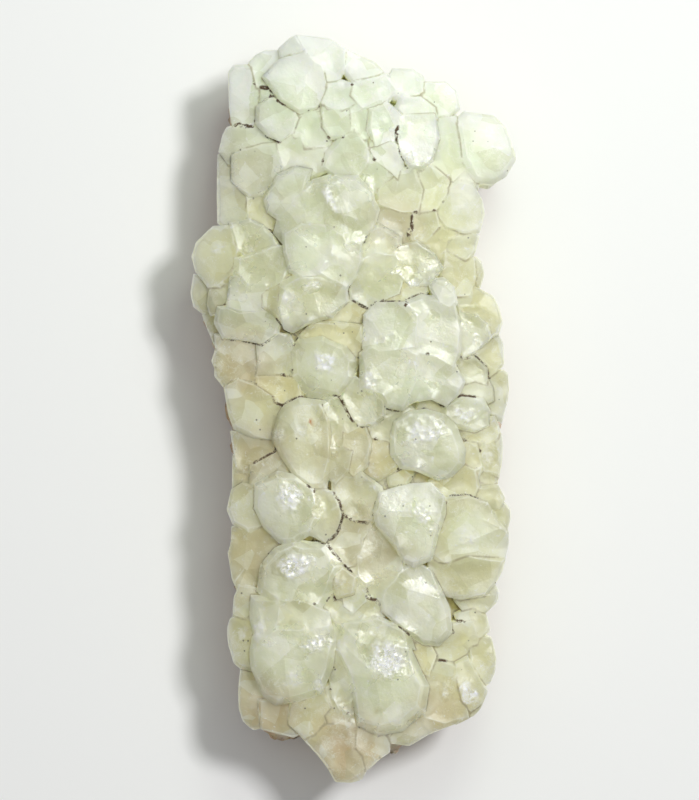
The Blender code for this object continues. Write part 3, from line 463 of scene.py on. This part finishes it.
def calcite_material(settings):
    """Calcite, grown in water: a milky, see-through body with satin faces.

    The tint steps from crystal to crystal and in angular growth zones, which gives the eye depth.
    Healed cracks show as bright feathers with painted glints among them, ridges carry a painted
    highlight in stretches, steep sides are paled partly by painted light that lifts their shade,
    the top end is whitened with painted glare, the valleys among low crystals are drawn darker in
    stretches, and dirt has run into the seams, which draws the crystals' outlines.
    """
    material, tree = empty_material("calcite_grown_translucent")
    place = add(tree, "ShaderNodeTexCoord", (), "Object")
    mark = {
        name: add(tree, "ShaderNodeAttribute", {"attribute_name": name}, "Fac")
        for name in ("tone", "stain", "white", "veil", "steep", "seam", "rim", "dirt", "rust")
    }

    # Cloudy patterns: size in mm, detail, roughness, swirl. Etch pits are really finer, and are
    # drawn as coarse as they need to show.
    cloud = {
        name: add(
            tree, "ShaderNodeTexNoise", (), "Fac",
            Vector=place, Scale=every(size), Detail=detail, Roughness=rough, Distortion=swirl,
        )
        for name, size, detail, rough, swirl in (
            ("tan", 6.7, 3.0, 0.5, 0.3),  # patches of tan stain
            ("haze", 5.6, 3.0, 0.55, 0.4),  # milky clouds
            ("feather", 1.22, 4.0, 0.6, 1.6),  # feathers of a healed crack
            ("blotch", 0.87, 3.0, 0.6, 0.8),  # its bright blotches
            ("ragged", 1.67, 4.0, 0.7, 0.0),  # and its ragged rim
            ("painted_glint", 0.77, 2.0, 0.5, 1.0),  # painted glints
            ("fibre", 1.79, 4.0, 0.62, 1.2),  # pale growth fibres
            ("fibrous", 4.76, 2.0, 0.55, 0.0),  # and the parts that have them
            ("highlight_stretch", 4.17, 4.0, 0.65, 0.0),  # stretches of a ridge that carry the painted highlight
            ("film", 5.0, 4.0, 0.7, 0.0),  # stretches of a valley that are drawn darker
            ("grit", 1.11, 5.0, 0.8, 0.0),  # clumps in the dirt
            ("wander", 2.0, 3.0, 0.7, 0.0),  # its uneven width
            ("etching", 0.42, 4.0, 0.6, 0.0),  # etch pits
            ("growth", 2.08, 3.0, 0.55, 0.0),  # growth swells
            ("satin", 5.0, 3.0, 0.5, 0.0),  # duller and brighter parts of the faces
        )
    }

    # Growth zones 4 mm across with uneven edges, and single grains of dust, one in five of which
    # shows, on a spacing of 1.6 mm
    drift = add(tree, "ShaderNodeTexNoise", (), "Color", Vector=place, Scale=every(5.0), Detail=2.0)
    uneven = add(
        tree, "ShaderNodeVectorMath", {"operation": "MULTIPLY_ADD"}, 0,
        _0=drift, _1=(1.4 * MM, 1.4 * MM, 1.4 * MM), _2=place,
    )
    zones = add(tree, "ShaderNodeTexVoronoi", (), "Color", Vector=uneven, Scale=every(4.0))
    zone = add(tree, "ShaderNodeSeparateColor", (), "Red", Color=zones)
    grains = add(tree, "ShaderNodeTexVoronoi", (), "Distance", Vector=place, Scale=every(1.6))
    chosen = add(tree, "ShaderNodeSeparateColor", (), "Green", Color=grains.node.outputs["Color"])

    # Distances from the middle of a pattern's range, whose lows run as thin lines
    line = {
        name: add(
            tree, "ShaderNodeMath", SIZE, 0,
            _0=add(tree, "ShaderNodeMath", MINUS, 0, _0=cloud[name], _1=0.5),
        )
        for name in ("feather", "fibre")
    }
    cracked = add(
        tree, "ShaderNodeMath", PLUS, 0,
        _0=mark["veil"], _1=add(tree, "ShaderNodeMath", TIMES, 0, _0=cloud["ragged"], _1=0.8),
    )
    beside_dirt = add(
        tree, "ShaderNodeMath", PLUS, 0,
        _0=mark["dirt"], _1=add(tree, "ShaderNodeMath", TIMES, 0, _0=cloud["wander"], _1=0.45),
    )

    # Shares: where each starts and ends in its source, and what it is there
    share = {
        name: add(
            tree, "ShaderNodeMapRange", SOFT, 0,
            Value=source, From_Min=start, From_Max=end, To_Min=least, To_Max=most,
        )
        for name, source, start, end, least, most in (
            ("tan", cloud["tan"], 0.48, 0.72, 0.0, 0.35),
            ("haze", cloud["haze"], 0.42, 0.7, 0.0, 1.0),
            ("bright_zone", zone, 0.55, 0.95, 0.0, 0.38),
            ("dull_zone", zone, 0.4, 0.05, 0.0, 0.32),
            ("feather", line["feather"], 0.05, 0.0, 0.0, 1.0),
            ("blotch", cloud["blotch"], 0.44, 0.66, 0.2, 0.9),
            ("cracked", cracked, 0.55, 1.2, 0.0, 1.0),
            # painted glints
            ("painted_glint", cloud["painted_glint"], 0.66, 0.72, 0.0, 0.5),
            ("fibre", line["fibre"], 0.035, 0.0, 0.0, 1.0),
            ("fibrous", cloud["fibrous"], 0.45, 0.6, 0.0, 0.45),
            # the next three place the painted rim highlight along the ridges
            ("highlight_stretch", cloud["highlight_stretch"], 0.42, 0.64, 0.08, 1.0),
            ("proud", mark["tone"], 0.5, 1.0, 0.0, 0.6),
            ("rim", mark["rim"], 0.0, 0.24, 0.55, 0.0),
            # the next three draw the valleys among low crystals darker in stretches
            ("film", cloud["film"], 0.42, 0.58, 0.0, 1.0),
            ("low", mark["tone"], 0.8, 0.3, 0.0, 1.0),
            ("seam", mark["seam"], 0.0, 0.35, 0.6, 0.0),
            ("grit", cloud["grit"], 0.44, 0.54, 0.0, 1.0),
            ("dirt", beside_dirt, 0.42, 0.66, 1.0, 0.0),
            ("grain", grains, 0.07, 0.13, 0.75, 0.0),
            ("chosen", chosen, 0.8, 0.84, 0.0, 1.0),
            ("milky", mark["tone"], 0.5, 0.0, 0.0, 0.5),
            ("satin", cloud["satin"], 0.35, 0.65, 0.26, 0.46),
            ("matt", mark["tone"], 0.6, 0.1, 0.0, 0.2),
        )
    }

    # What those make together. All that clouds or covers the calcite makes it dull, and the rest
    # is open to the light.
    for name, how, first, second in (
        ("hazy", TIMES, share["haze"], 0.35),
        # steep faces paled, partly as frost and partly as painted light that lifts their shade
        ("steep_frost_and_painted_lift", TIMES, mark["steep"], 0.5),
        ("lit", MOST, share["feather"], share["blotch"]),
        ("crack", TIMES, "lit", share["cracked"]),
        # crack feathers, with painted glints added
        ("flake", MOST, "crack", share["painted_glint"]),
        ("fibres", TIMES, share["fibre"], share["fibrous"]),
        # worn picks where the painted rim highlight shows: in stretches, and more on proud crystals
        ("worn", MOST, share["highlight_stretch"], share["proud"]),
        ("painted_rim_highlight", TIMES, share["rim"], "worn"),
        # the valleys among low crystals, drawn darker in stretches
        ("darkened_stretch", TIMES, share["film"], share["low"]),
        ("seam_darkening", TIMES, "darkened_stretch", share["seam"]),
        ("stroke", TIMES, share["dirt"], share["grit"]),
        ("speck", TIMES, share["grain"], share["chosen"]),
        ("cloudy", TIMES, share["haze"], 0.45),
        ("whitened", TIMES, mark["white"], 0.7),
        ("dull_1", MOST, "flake", "stroke"),
        ("dull_2", MOST, "cloudy", "whitened"),
        ("dull_3", MOST, mark["steep"], share["milky"]),
        ("dull_4", MOST, "dull_1", "dull_2"),
        ("dull_5", MOST, "dull_3", "painted_rim_highlight"),
        ("dull", MOST, "dull_4", "dull_5"),
        ("open", MINUS, 1.0, "dull"),
        ("clear", TIMES, "open", settings.clear),
        ("polish", TIMES, mark["veil"], 0.1),
        ("gloss_1", PLUS, share["satin"], share["matt"]),
        ("gloss_2", MINUS, "gloss_1", "polish"),
        ("earthy", TIMES, "stroke", 0.85),
        ("gloss", MOST, "gloss_2", "earthy"),
    ):
        first, second = (share[part] if isinstance(part, str) else part for part in (first, second))
        share[name] = add(tree, "ShaderNodeMath", how, 0, _0=first, _1=second)

    # Colours, each laid over the last
    low, tall = (*settings.low_tint, 1.0), (*settings.tall_tint, 1.0)
    body = add(tree, "ShaderNodeMix", COLOUR, 2, _0=mark["tone"], _6=low, _7=tall)
    for amount, colour in (
        (mark["stain"], (*settings.stain_tint, 1.0)),
        # paleness, which towards the top end is painted glare
        (mark["white"], linear("#F2FFEA")),
        (share["tan"], linear("#CBC8A0")),
        (share["hazy"], linear("#FDFDF2")),
        # steep faces, paled partly as frost and partly by painted light that lifts their shade
        (share["steep_frost_and_painted_lift"], linear("#F3F5DC")),
        (share["bright_zone"], linear("#FCFFEC")),
        (share["dull_zone"], linear("#C4C29B")),
        # white healed-crack feathers and painted glints
        (share["flake"], linear("#FFFFFF")),
        (share["fibres"], linear("#FFFFF4")),
        # painted rim highlight along the ridges
        (share["painted_rim_highlight"], linear("#FFFFF0")),
        # the valleys among low crystals, drawn darker in stretches
        (share["seam_darkening"], linear("#8E7B50")),
        (share["stroke"], linear("#54402A")),
        (share["speck"], linear("#4A3D28")),
        (mark["rust"], linear("#C9822E")),
    ):
        body = add(tree, "ShaderNodeMix", COLOUR, 2, _0=amount, _6=body, _7=colour)

    # Etch pits 0.08 mm deep and growth swells on the faces, and a crackled skin over the healed
    # cracks, in plates 1.25 mm across
    crackle = add(tree, "ShaderNodeTexVoronoi", (), "Distance", Vector=place, Scale=every(1.25))
    crackle = add(tree, "ShaderNodeMath", TIMES, 0, _0=crackle, _1=mark["veil"])
    relief = add(
        tree, "ShaderNodeBump", (), 0, Strength=0.6, Distance=0.08 * MM, Height=cloud["etching"]
    )
    for strength, depth, height in ((0.35, 0.5 * MM, cloud["growth"]), (0.8, 0.8 * MM, crackle)):
        relief = add(
            tree, "ShaderNodeBump", (), 0,
            Strength=strength, Distance=depth, Height=height, Normal=relief,
        )

    surface = add(
        tree, "ShaderNodeBsdfPrincipled", {"subsurface_method": "RANDOM_WALK"}, 0,
        Base_Color=body, Roughness=share["gloss"], IOR=CALCITE_IOR, Normal=relief,
        Transmission_Weight=share["clear"], Subsurface_Weight=0.9,
        Subsurface_Scale=settings.scatter, Subsurface_Radius=(1.0, 0.97, 0.78),
    )
    inside = add(tree, "ShaderNodeVolumeAbsorption", (), 0, Color=linear("#EDEFC6"), Density=18.0)
    add(tree, "ShaderNodeOutputMaterial", Surface=surface, Volume=inside)
    return material


def crack_material():
    """Healed cracks in calcite: smooth films that turn pale light back from inside the crystals.

    Each flake faces its own way, so that a few of them flash while the rest stay soft.
    """
    material, tree = empty_material("calcite_healed_crack_film")
    place = add(tree, "ShaderNodeTexCoord", (), "Object")
    grain = add(tree, "ShaderNodeTexNoise", (), "Fac", Vector=place, Scale=every(0.33), Detail=2.0)
    body = add(
        tree, "ShaderNodeMix", COLOUR, 2, _0=grain, _6=linear("#F0EFDC"), _7=linear("#FFFEF2")
    )
    surface = add(
        tree, "ShaderNodeBsdfPrincipled", (), 0, Base_Color=body, Roughness=0.3, IOR=CALCITE_IOR
    )
    add(tree, "ShaderNodeOutputMaterial", Surface=surface)
    return material


def rock_material(settings):
    """Iron-stained limestone, broken by hand: dull and grainy, in peach and tan patches.

    The crystals' milky roots coat its top, and run down its sides in places, so the two look grown
    together, and light that reaches the rock through the crystals comes back pale.
    """
    material, tree = empty_material("limestone_broken_stained")
    place = add(tree, "ShaderNodeTexCoord", (), "Object")
    roots = add(tree, "ShaderNodeAttribute", {"attribute_name": "roots"}, "Fac")
    broad = add(
        tree, "ShaderNodeTexNoise", (), "Fac",
        Vector=place, Scale=every(6.2), Detail=6.0, Roughness=0.6,
    )
    grain = add(
        tree, "ShaderNodeTexNoise", (), "Fac",
        Vector=place, Scale=1.0 / settings.grain, Detail=4.0, Roughness=0.65,
    )
    patch = add(tree, "ShaderNodeMapRange", (), 0, Value=broad, From_Min=0.36, From_Max=0.66)
    speck = add(tree, "ShaderNodeMapRange", (), 0, Value=grain, From_Min=0.56, From_Max=0.72)
    body = (*settings.dark_tint, 1.0)
    for amount, colour in (
        (patch, (*settings.pale_tint, 1.0)),
        (speck, linear("#8D7758")),
        (roots, linear("#FFFDF0")),
    ):
        body = add(tree, "ShaderNodeMix", COLOUR, 2, _0=amount, _6=body, _7=colour)
    relief = add(tree, "ShaderNodeBump", (), 0, Strength=0.7, Distance=0.35 * MM, Height=grain)
    surface = add(
        tree, "ShaderNodeBsdfPrincipled", {"subsurface_method": "RANDOM_WALK"}, 0,
        Base_Color=body, Roughness=0.85, Normal=relief,
        Subsurface_Weight=0.15, Subsurface_Scale=0.8 * MM,
    )
    add(tree, "ShaderNodeOutputMaterial", Surface=surface)
    return material


def paper_material(settings):
    """Matt white seamless paper, which shows nothing but the shadow."""
    material, tree = empty_material("paper_matt_white")
    tint = (*settings.paper_tint, 1.0)
    surface = add(tree, "ShaderNodeBsdfPrincipled", (), 0, Base_Color=tint, Roughness=0.9)
    add(tree, "ShaderNodeOutputMaterial", Surface=surface)
    return material


# --------------------------------------------------------------------------- shapes


def merged_copy(node):
    """A bmesh of a CAD node with its loose triangles joined."""
    shape = bmesh.new()
    shape.from_mesh(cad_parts[node].data)
    bmesh.ops.remove_doubles(shape, verts=shape.verts, dist=WELD)
    bmesh.ops.dissolve_degenerate(shape, dist=WELD, edges=shape.edges)
    bmesh.ops.dissolve_limit(
        shape, angle_limit=math.radians(COPLANAR), verts=shape.verts, edges=shape.edges
    )
    bmesh.ops.triangulate(shape, faces=shape.faces)
    return shape


def bend(edge):
    """Degrees between an edge's two faces: above 0 on a ridge and below 0 in a valley."""
    return math.degrees(edge.calc_face_angle_signed(0.0)) if len(edge.link_faces) == 2 else 0.0


def points_along(shape, wanted):
    """Points spaced along the edges that a test picks."""
    points = []
    for edge in shape.edges:
        if wanted(edge):
            a, b = (vert.co for vert in edge.verts)
            count = max(2, int((b - a).length / SPACING) + 1)
            points += [a.lerp(b, i / (count - 1)) for i in range(count)]
    return points


def tree_of(points):
    """A tree that finds the nearest of some points."""
    tree = kdtree.KDTree(len(points))
    for index, point in enumerate(points):
        tree.insert(point, index)
    tree.balance()
    return tree


def refine(shape, too_long):
    """Splits the edges that a test finds too long, for a few turns at most."""
    for _ in range(TURNS):
        long_edges = [edge for edge in shape.edges if too_long(edge)]
        if not long_edges:
            break
        # The two patterns keep slivers out of the split triangles.
        bmesh.ops.subdivide_edges(
            shape, edges=long_edges, cuts=1, use_grid_fill=True, use_single_edge=True
        )
        bmesh.ops.triangulate(shape, faces=[face for face in shape.faces if len(face.verts) > 3])


def faces_between(edge, low, high):
    """Whether the faces at an edge all face up by a share between two values."""
    return all(low <= face.normal.z <= high for face in edge.link_faces)


def number_crystals(shape):
    """Gives each crystal's faces one number: it ends where the surface turns into a valley."""
    layer = shape.faces.layers.int.new("crystal")
    number = 0
    for seed in shape.faces:
        if seed[layer]:
            continue
        number += 1
        seed[layer] = number
        front = [seed]
        while front:
            for edge in front.pop().edges:
                if bend(edge) < CRYSTAL_END:
                    continue
                for near in edge.link_faces:
                    if not near[layer]:
                        near[layer] = number
                        front.append(near)
    return layer


def dome(place):
    """Height of the crystals' shoulders at a place: lower towards the rims and the ends."""
    across = min(abs(place.x) / CRUST_HIGH.x, 1.0)
    along = min(abs(place.y) / CRUST_HIGH.y, 1.0)
    return DOME_TOP - RIM_FALL * across**2 - END_FALL * along**2


def crystal_heights(shape, layer):
    """Each crystal's mean height over the shoulders, in mm, from its upward faces."""
    sums = {}
    for face in shape.faces:
        if face.normal.z < SHOULDER:
            continue
        middle = face.calc_center_median()
        weight = face.calc_area() * face.normal.z
        total = sums.setdefault(face[layer], [0.0, 0.0])
        total[0] += weight * (middle.z - dome(middle)) / MM
        total[1] += weight
    return {number: height / area for number, (height, area) in sums.items()}


def soft_step(value, low, high):
    """0 below a range and 1 above it, with a smooth change between."""
    share = min(max((value - low) / (high - low), 0.0), 1.0)
    return share * share * (3.0 - 2.0 * share)


def cleavage(place, size):
    """How far a broken surface stands out at a place: flat patches, each tilted its own way."""
    centre = noise.voronoi(place / size)[1][0]
    tilt = 2.0 * noise.cell_vector(centre * 9.0) - Vector((1.0, 1.0, 1.0))
    return tilt.dot(place / size - centre) + noise.cell(centre * 5.0) - 0.5


def points_of(text):
    """The x,y points of a line, in metres, on the rest surface."""
    pairs = (pair.split(",") for pair in text.split())
    return [Vector((float(x), float(y), 0.0)) * MM for x, y in pairs]


def dirt_marks(valley_points):
    """Points along the strokes of dirt, each moved into the nearest valley where one is close."""
    upper = [point for point in valley_points if point.z > 10.0 * MM]
    flat = tree_of([Vector((*point.xy, 0.0)) for point in upper])
    marks = points_of(DIRT_SPOTS)
    for text in DIRT:
        line = points_of(text)
        for a, b in zip(line, line[1:]):
            count = int((b - a).length / SPACING) + 2
            marks += [a.lerp(b, i / (count - 1)) for i in range(count)]
    nearest = (flat.find(mark) for mark in marks)
    return tree_of([upper[index] for _, index, gap in nearest if gap < SNAP])


def veil_at(point):
    """Strength of the bright healed cracks at a place on the plate."""
    x, y = point.x / MM, point.y / MM
    strength = 0.0
    for cx, cy, half_x, half_y, turn, most in VEILS:
        if abs(x - cx) > 2.0 * half_x + half_y or abs(y - cy) > 2.0 * half_y + half_x:
            continue
        angle = math.radians(turn)
        dx = (x - cx) * math.cos(angle) + (y - cy) * math.sin(angle)
        dy = (y - cy) * math.cos(angle) - (x - cx) * math.sin(angle)
        ragged = 0.35 * noise.noise(Vector((x, y, 4.0)) * 0.9)
        reach = math.hypot(dx / half_x, dy / half_y) + ragged
        strength = max(strength, most * (1.0 - soft_step(reach, 0.45, 1.15)))
    return strength


def tint_at(point):
    """Whiteness, which is painted glare towards the top end, and tan stain at a place on the plate.
    """
    x, y = point.x / MM, point.y / MM
    stain = 0.0
    # Painted glare: the crystals whiten towards the top end
    white = 0.95 * soft_step(y, 20.0, 58.0)
    for cx, cy, half, most_white, most_stain in TINTS:
        near = 1.0 - soft_step(math.hypot(x - cx, y - cy) / half, 0.2, 1.25)
        white = max(white, most_white * near)
        stain = max(stain, most_stain * near)
    return white, stain


def fuse(shape, seams, settings):
    """Lets the crystals stand less proud of one another, and grows their valleys partly shut."""
    for vert, seam in zip(shape.verts, seams):
        above = vert.co.z - dome(vert.co)
        # Only the upper part moves, and what looks down stays.
        upper = soft_step(vert.co.z, 9.0 * MM, 13.0 * MM) * soft_step(vert.normal.z, -0.2, 0.3)
        ease = settings.ease * min(max(-above, -3.0 * MM), 3.0 * MM)
        vert.co.z += upper * (ease + settings.fill * max(1.0 - seam / SEAM_FILL, 0.0))
    shape.normal_update()


def roughen(shape, seams, rims, settings):
    """Swells the open faces a little, and breaks the sides in steps below the shoulders."""
    underside = tree_of([vert.co.copy() for vert in shape.verts if vert.normal.z < DOWN])
    for vert, seam, rim in zip(shape.verts, seams, rims):
        if vert.normal.z < DOWN:
            continue
        place = vert.co / MM
        swell = noise.noise(place / 3.6) + 0.4 * noise.noise(place / 1.3)
        push = settings.swell * swell * soft_step(min(seam, rim), 0.0, 1.0)
        # The break starts well below the shoulders, and fades out at the foot.
        below = soft_step(dome(vert.co) - vert.co.z, 3.2 * MM, 6.5 * MM)
        below *= soft_step(underside.find(vert.co)[2], 0.3 * MM, 3.0 * MM)
        if below > 0.0:
            side = below * (1.0 - soft_step(vert.normal.z, 0.1, 0.45))
            rough = cleavage(place, 5.0) + 0.5 * cleavage(place, 2.2)
            rough += 0.4 * noise.noise(place / 1.5)
            push += side * settings.break_depth * min(rough, OVERHANG)
            push += 1.2 * side * settings.fill * max(1.0 - seam / ROOT_FILL, 0.0)
            # Not noise_vector, which gives other values each run
            drift = Vector((noise.noise(place / 5.5 + ELSEWHERE), noise.noise(place / 5.5), 0.0))
            vert.co += below * settings.stagger * drift
        vert.co += vert.normal * push


def dressed(name, shape, material, node, slot, **marks):
    """The finished object of a piece, with its marks as attributes, riding on the part."""
    mesh = bpy.data.meshes.new(name)
    shape.to_mesh(mesh)
    shape.free()
    mesh.materials.append(material)
    piece = bpy.data.objects.new(name, mesh)
    bpy.context.scene.collection.objects.link(piece)
    for mark, values in marks.items():
        domain = "FACE" if len(values) == len(mesh.polygons) else "POINT"
        attribute = mesh.attributes.new(mark, "FLOAT", domain)
        attribute.data.foreach_set("value", np.asarray(values, np.float32))
    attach(piece, "root")
    if node:
        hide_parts(node)
    print(name, len(piece.data.polygons), "faces")
    return piece


# --------------------------------------------------------------------------- operators


class CALCITE_OT_grow_crystals(bpy.types.Operator):
    """Makes the crystals, fused into one crust, in place of their plain solid"""

    bl_idname = "calcite.grow_crystals"
    bl_label = "Grow Crystals"

    def execute(self, context):
        settings = context.scene.calcite_crystals
        shape = merged_copy("crystal_crust")
        crystal = number_crystals(shape)
        heights = crystal_heights(shape, crystal)
        valley_points = points_along(shape, lambda edge: bend(edge) < VALLEY)
        valleys = tree_of(valley_points)
        ridges = tree_of(points_along(shape, lambda edge: bend(edge) > RIDGE))

        def too_long(edge):
            length = edge.calc_length()
            if length < settings.edge_facet:
                return False
            if faces_between(edge, -1.0, DOWN):
                return length > settings.under_facet
            if length > settings.face_facet:
                return True
            middle = (edge.verts[0].co + edge.verts[1].co) / 2
            return min(valleys.find(middle)[2], ridges.find(middle)[2]) < CREASE

        refine(shape, too_long)
        for edge in shape.edges:
            edge.smooth = abs(bend(edge)) < FACET
        for face in shape.faces:
            face.smooth = True

        # Distances in mm to the nearest valley, ridge and stroke of dirt
        seams = [valleys.find(vert.co)[2] / MM for vert in shape.verts]
        rims = [ridges.find(vert.co)[2] / MM for vert in shape.verts]
        marks = dirt_marks(valley_points)
        dirt = [min(marks.find(vert.co)[2] / MM, 3.0) for vert in shape.verts]

        fuse(shape, seams, settings)
        roughen(shape, seams, rims, settings)
        worn = [vert for vert, rim in zip(shape.verts, rims) if rim < settings.edge_wear / MM]
        bmesh.ops.smooth_vert(
            shape, verts=worn, factor=0.45, use_axis_x=True, use_axis_y=True, use_axis_z=True
        )
        # The underside dips into the rock, where the two are grown together.
        for vert in shape.verts:
            if vert.normal.z < DOWN and vert.co.z < 11.0 * MM:
                vert.co.z -= DIP

        # A crystal's tone goes with its height over the shoulders, and a little with chance.
        tone = []
        for face in shape.faces:
            number = face[crystal]
            own = noise.cell(Vector((number * 1.37, 0.5, 0.5))) - 0.5
            tone.append(soft_step(heights.get(number, 0.0) + 1.1 * own, -1.6, 1.3))
        tints = [tint_at(vert.co) for vert in shape.verts]
        rust_middle, rust_size = Vector(RUST_SPOT[:2]), RUST_SPOT[2]
        dressed(
            "calcite_crystals", shape, calcite_material(settings), "crystal_crust", "calcite",
            tone=tone, seam=seams, rim=rims, dirt=dirt,
            veil=[veil_at(vert.co) for vert in shape.verts],
            # whiteness, partly painted glare at the top end
            white=[white for white, _ in tints],
            stain=[stain for _, stain in tints],
            # Steepness pales the sides, partly as frost and partly as painted light that lifts
            # their shade
            steep=[1.0 - soft_step(vert.normal.z, 0.35, 0.85) for vert in shape.verts],
            rust=[
                1.0 - soft_step((vert.co.xy / MM - rust_middle).length, 0.5 * rust_size, rust_size)
                for vert in shape.verts
            ],
        )
        return {"FINISHED"}


class CALCITE_OT_heal_cracks(bpy.types.Operator):
    """Sets the healed cracks inside the crystals: sheets of small flakes that catch the light"""

    bl_idname = "calcite.heal_cracks"
    bl_label = "Heal Cracks"

    def execute(self, context):
        settings = context.scene.calcite_cracks
        crystals = bpy.data.objects["calcite_crystals"]
        surface = BVHTree.FromObject(crystals, context.evaluated_depsgraph_get())
        chance = random.Random(settings.seed)
        shape = bmesh.new()
        for cx, cy, half_x, half_y, turn, strength in VEILS:
            lie = Matrix.Rotation(math.radians(turn), 2)
            for _ in range(int(settings.crowding * half_x * half_y * (0.5 + strength))):
                out = math.sqrt(chance.random()) * 0.95
                way = chance.uniform(0.0, math.tau)
                place = Vector((half_x * out * math.cos(way), half_y * out * math.sin(way)))
                place = (Vector((cx, cy)) + lie @ place) * MM
                top = surface.ray_cast(Vector((*place, 0.1)), -UP)[0]
                if top is None:
                    continue
                depth = chance.uniform(settings.least_depth, settings.most_depth)
                depth *= 1.0 + 0.8 * out
                size = settings.flake * chance.uniform(0.45, 1.25)
                flake = bmesh.ops.create_cone(
                    shape, cap_ends=True, segments=chance.choice((4, 5, 6)),
                    radius1=size, radius2=size, depth=settings.film,
                )["verts"]
                bmesh.ops.scale(shape, vec=(1.0, chance.uniform(0.35, 0.9), 1.0), verts=flake)
                lean = [chance.gauss(0.0, LEAN) for _ in range(2)]
                tilt = Euler((*lean, chance.uniform(0.0, math.tau)))
                move = Matrix.Translation(top - UP * depth) @ tilt.to_matrix().to_4x4()
                bmesh.ops.transform(shape, matrix=move, verts=flake)
        dressed("healed_cracks", shape, crack_material(), None, "calcite")
        return {"FINISHED"}


class CALCITE_OT_break_rock(bpy.types.Operator):
    """Makes the rock under the crystals, in place of its plain solid"""

    bl_idname = "calcite.break_rock"
    bl_label = "Break Rock"

    def execute(self, context):
        settings = context.scene.calcite_rock
        shape = merged_copy("matrix_base")

        def too_long(edge):
            hidden = faces_between(edge, -1.0, -0.9) or faces_between(edge, 0.9, 1.0)
            return edge.calc_length() > (settings.hidden_facet if hidden else settings.facet)

        refine(shape, too_long)
        for vert in shape.verts:
            place = vert.co / MM
            if vert.co.z > 0.05 * MM:
                rough = noise.noise(place / 1.6) + 0.6 * noise.noise(place / 0.7)
                steps = cleavage(place, 6.0) + 0.5 * cleavage(place, 2.6)
                side = 1.0 - soft_step(abs(vert.normal.z), 0.6, 0.9)
                push = settings.pitting * rough
                push += side * settings.step * min(steps, OVERHANG)
                vert.co += vert.normal * push
                vert.co.z = max(vert.co.z, 0.0)
        shape.normal_update()
        for face in shape.faces:
            face.smooth = True

        # Milky calcite coats all that the crystals cover, and runs unevenly down the sides.
        crystals = bpy.data.objects["calcite_crystals"]
        above = BVHTree.FromObject(crystals, context.evaluated_depsgraph_get())
        roots = []
        for vert in shape.verts:
            place = vert.co / MM
            covered = above.ray_cast(vert.co + UP * 0.02 * MM, UP)[0]
            if covered and place.z > 3.0:
                roots.append(soft_step(vert.normal.z, 0.3, 0.7))
            else:
                level = place.z + 2.2 * noise.noise(place / 4.5) + noise.noise(place / 1.6)
                roots.append(0.3 * soft_step(level, 5.2, 7.4))
        material = rock_material(settings)
        dressed("peach_limestone", shape, material, "matrix_base", "matrix_rock", roots=roots)
        return {"FINISHED"}


class CALCITE_OT_light_stage(bpy.types.Operator):
    """Makes the pale floor, the soft lights and the camera that looks straight down"""

    bl_idname = "calcite.light_stage"
    bl_label = "Light Stage"

    def execute(self, context):
        settings = context.scene.calcite_stage
        scene = context.scene
        bpy.ops.mesh.primitive_plane_add(size=settings.floor_size)
        floor = context.object
        floor.name = "studio_floor"
        floor.data.materials.append(paper_material(settings))

        # Soft boxes: place, width and watts, in metres, and colour
        for name, place, size, power, colour in (
            ("key", (0.49, 0.32, 0.96), 0.20, 7.6, "#FFFFFF"),
            ("top_right", (0.06, 0.16, 0.22), 0.10, 0.16, "#F2FFEC"),
            ("ceiling", (-0.25, 0.3, 1.2), 1.4, 2.2, "#FFFFFF"),
        ):
            light = bpy.data.lights.new(name, "AREA")
            light.size = size
            light.energy = power
            light.color = linear(colour)[:3]
            lamp = bpy.data.objects.new(name, light)
            scene.collection.objects.link(lamp)
            lamp.location = place
            aim = UP * 0.01 - lamp.location
            lamp.rotation_euler = aim.to_track_quat("-Z", "Y").to_euler()
        world = bpy.data.worlds.new("studio_air")
        scene.world = world
        world.use_nodes = True
        background = world.node_tree.nodes["Background"]
        background.inputs["Color"].default_value = (1.0, 1.0, 1.0, 1.0)
        background.inputs["Strength"].default_value = settings.air

        camera = bpy.data.cameras.new("camera")
        camera.sensor_fit = "VERTICAL"
        camera.sensor_height = 36.0
        surface = 0.5 * (ROCK_HIGH.z + CRUST_HIGH.z)
        camera.lens = camera.sensor_height * (settings.reach - surface) / settings.view_height
        camera.clip_end = 10.0
        eye = bpy.data.objects.new("camera", camera)
        scene.collection.objects.link(eye)
        eye.location = (*VIEW_CENTRE, settings.reach)
        scene.camera = eye
        scene.view_settings.view_transform = "Standard"
        return {"FINISHED"}


class CALCITE_PT_panel(bpy.types.Panel):
    """Lists the steps in order"""

    bl_idname = "CALCITE_PT_panel"
    bl_label = "Calcite Cluster"
    bl_space_type = "VIEW_3D"
    bl_region_type = "UI"
    bl_category = "Calcite"

    def draw(self, context):
        layout = self.layout
        for step in STEPS:
            layout.operator(step.bl_idname)


STEPS = (
    CALCITE_OT_grow_crystals,
    CALCITE_OT_heal_cracks,
    CALCITE_OT_break_rock,
    CALCITE_OT_light_stage,
)
CLASSES = (
    CrystalSettings,
    CrackSettings,
    RockSettings,
    StageSettings,
    CALCITE_OT_grow_crystals,
    CALCITE_OT_heal_cracks,
    CALCITE_OT_break_rock,
    CALCITE_OT_light_stage,
    CALCITE_PT_panel,
)


def register():
    """Adds the classes and the settings to Blender."""
    for cls in CLASSES:
        bpy.utils.register_class(cls)
    bpy.types.Scene.calcite_crystals = PointerProperty(type=CrystalSettings)
    bpy.types.Scene.calcite_cracks = PointerProperty(type=CrackSettings)
    bpy.types.Scene.calcite_rock = PointerProperty(type=RockSettings)
    bpy.types.Scene.calcite_stage = PointerProperty(type=StageSettings)


def unregister():
    """Takes them out again."""
    del bpy.types.Scene.calcite_stage
    del bpy.types.Scene.calcite_rock
    del bpy.types.Scene.calcite_cracks
    del bpy.types.Scene.calcite_crystals
    for cls in reversed(CLASSES):
        bpy.utils.unregister_class(cls)


def main():
    """Runs the steps."""
    register()
    bpy.ops.calcite.grow_crystals()
    bpy.ops.calcite.heal_cracks()
    bpy.ops.calcite.break_rock()
    bpy.ops.calcite.light_stage()


if __name__ == "__main__":
    main()
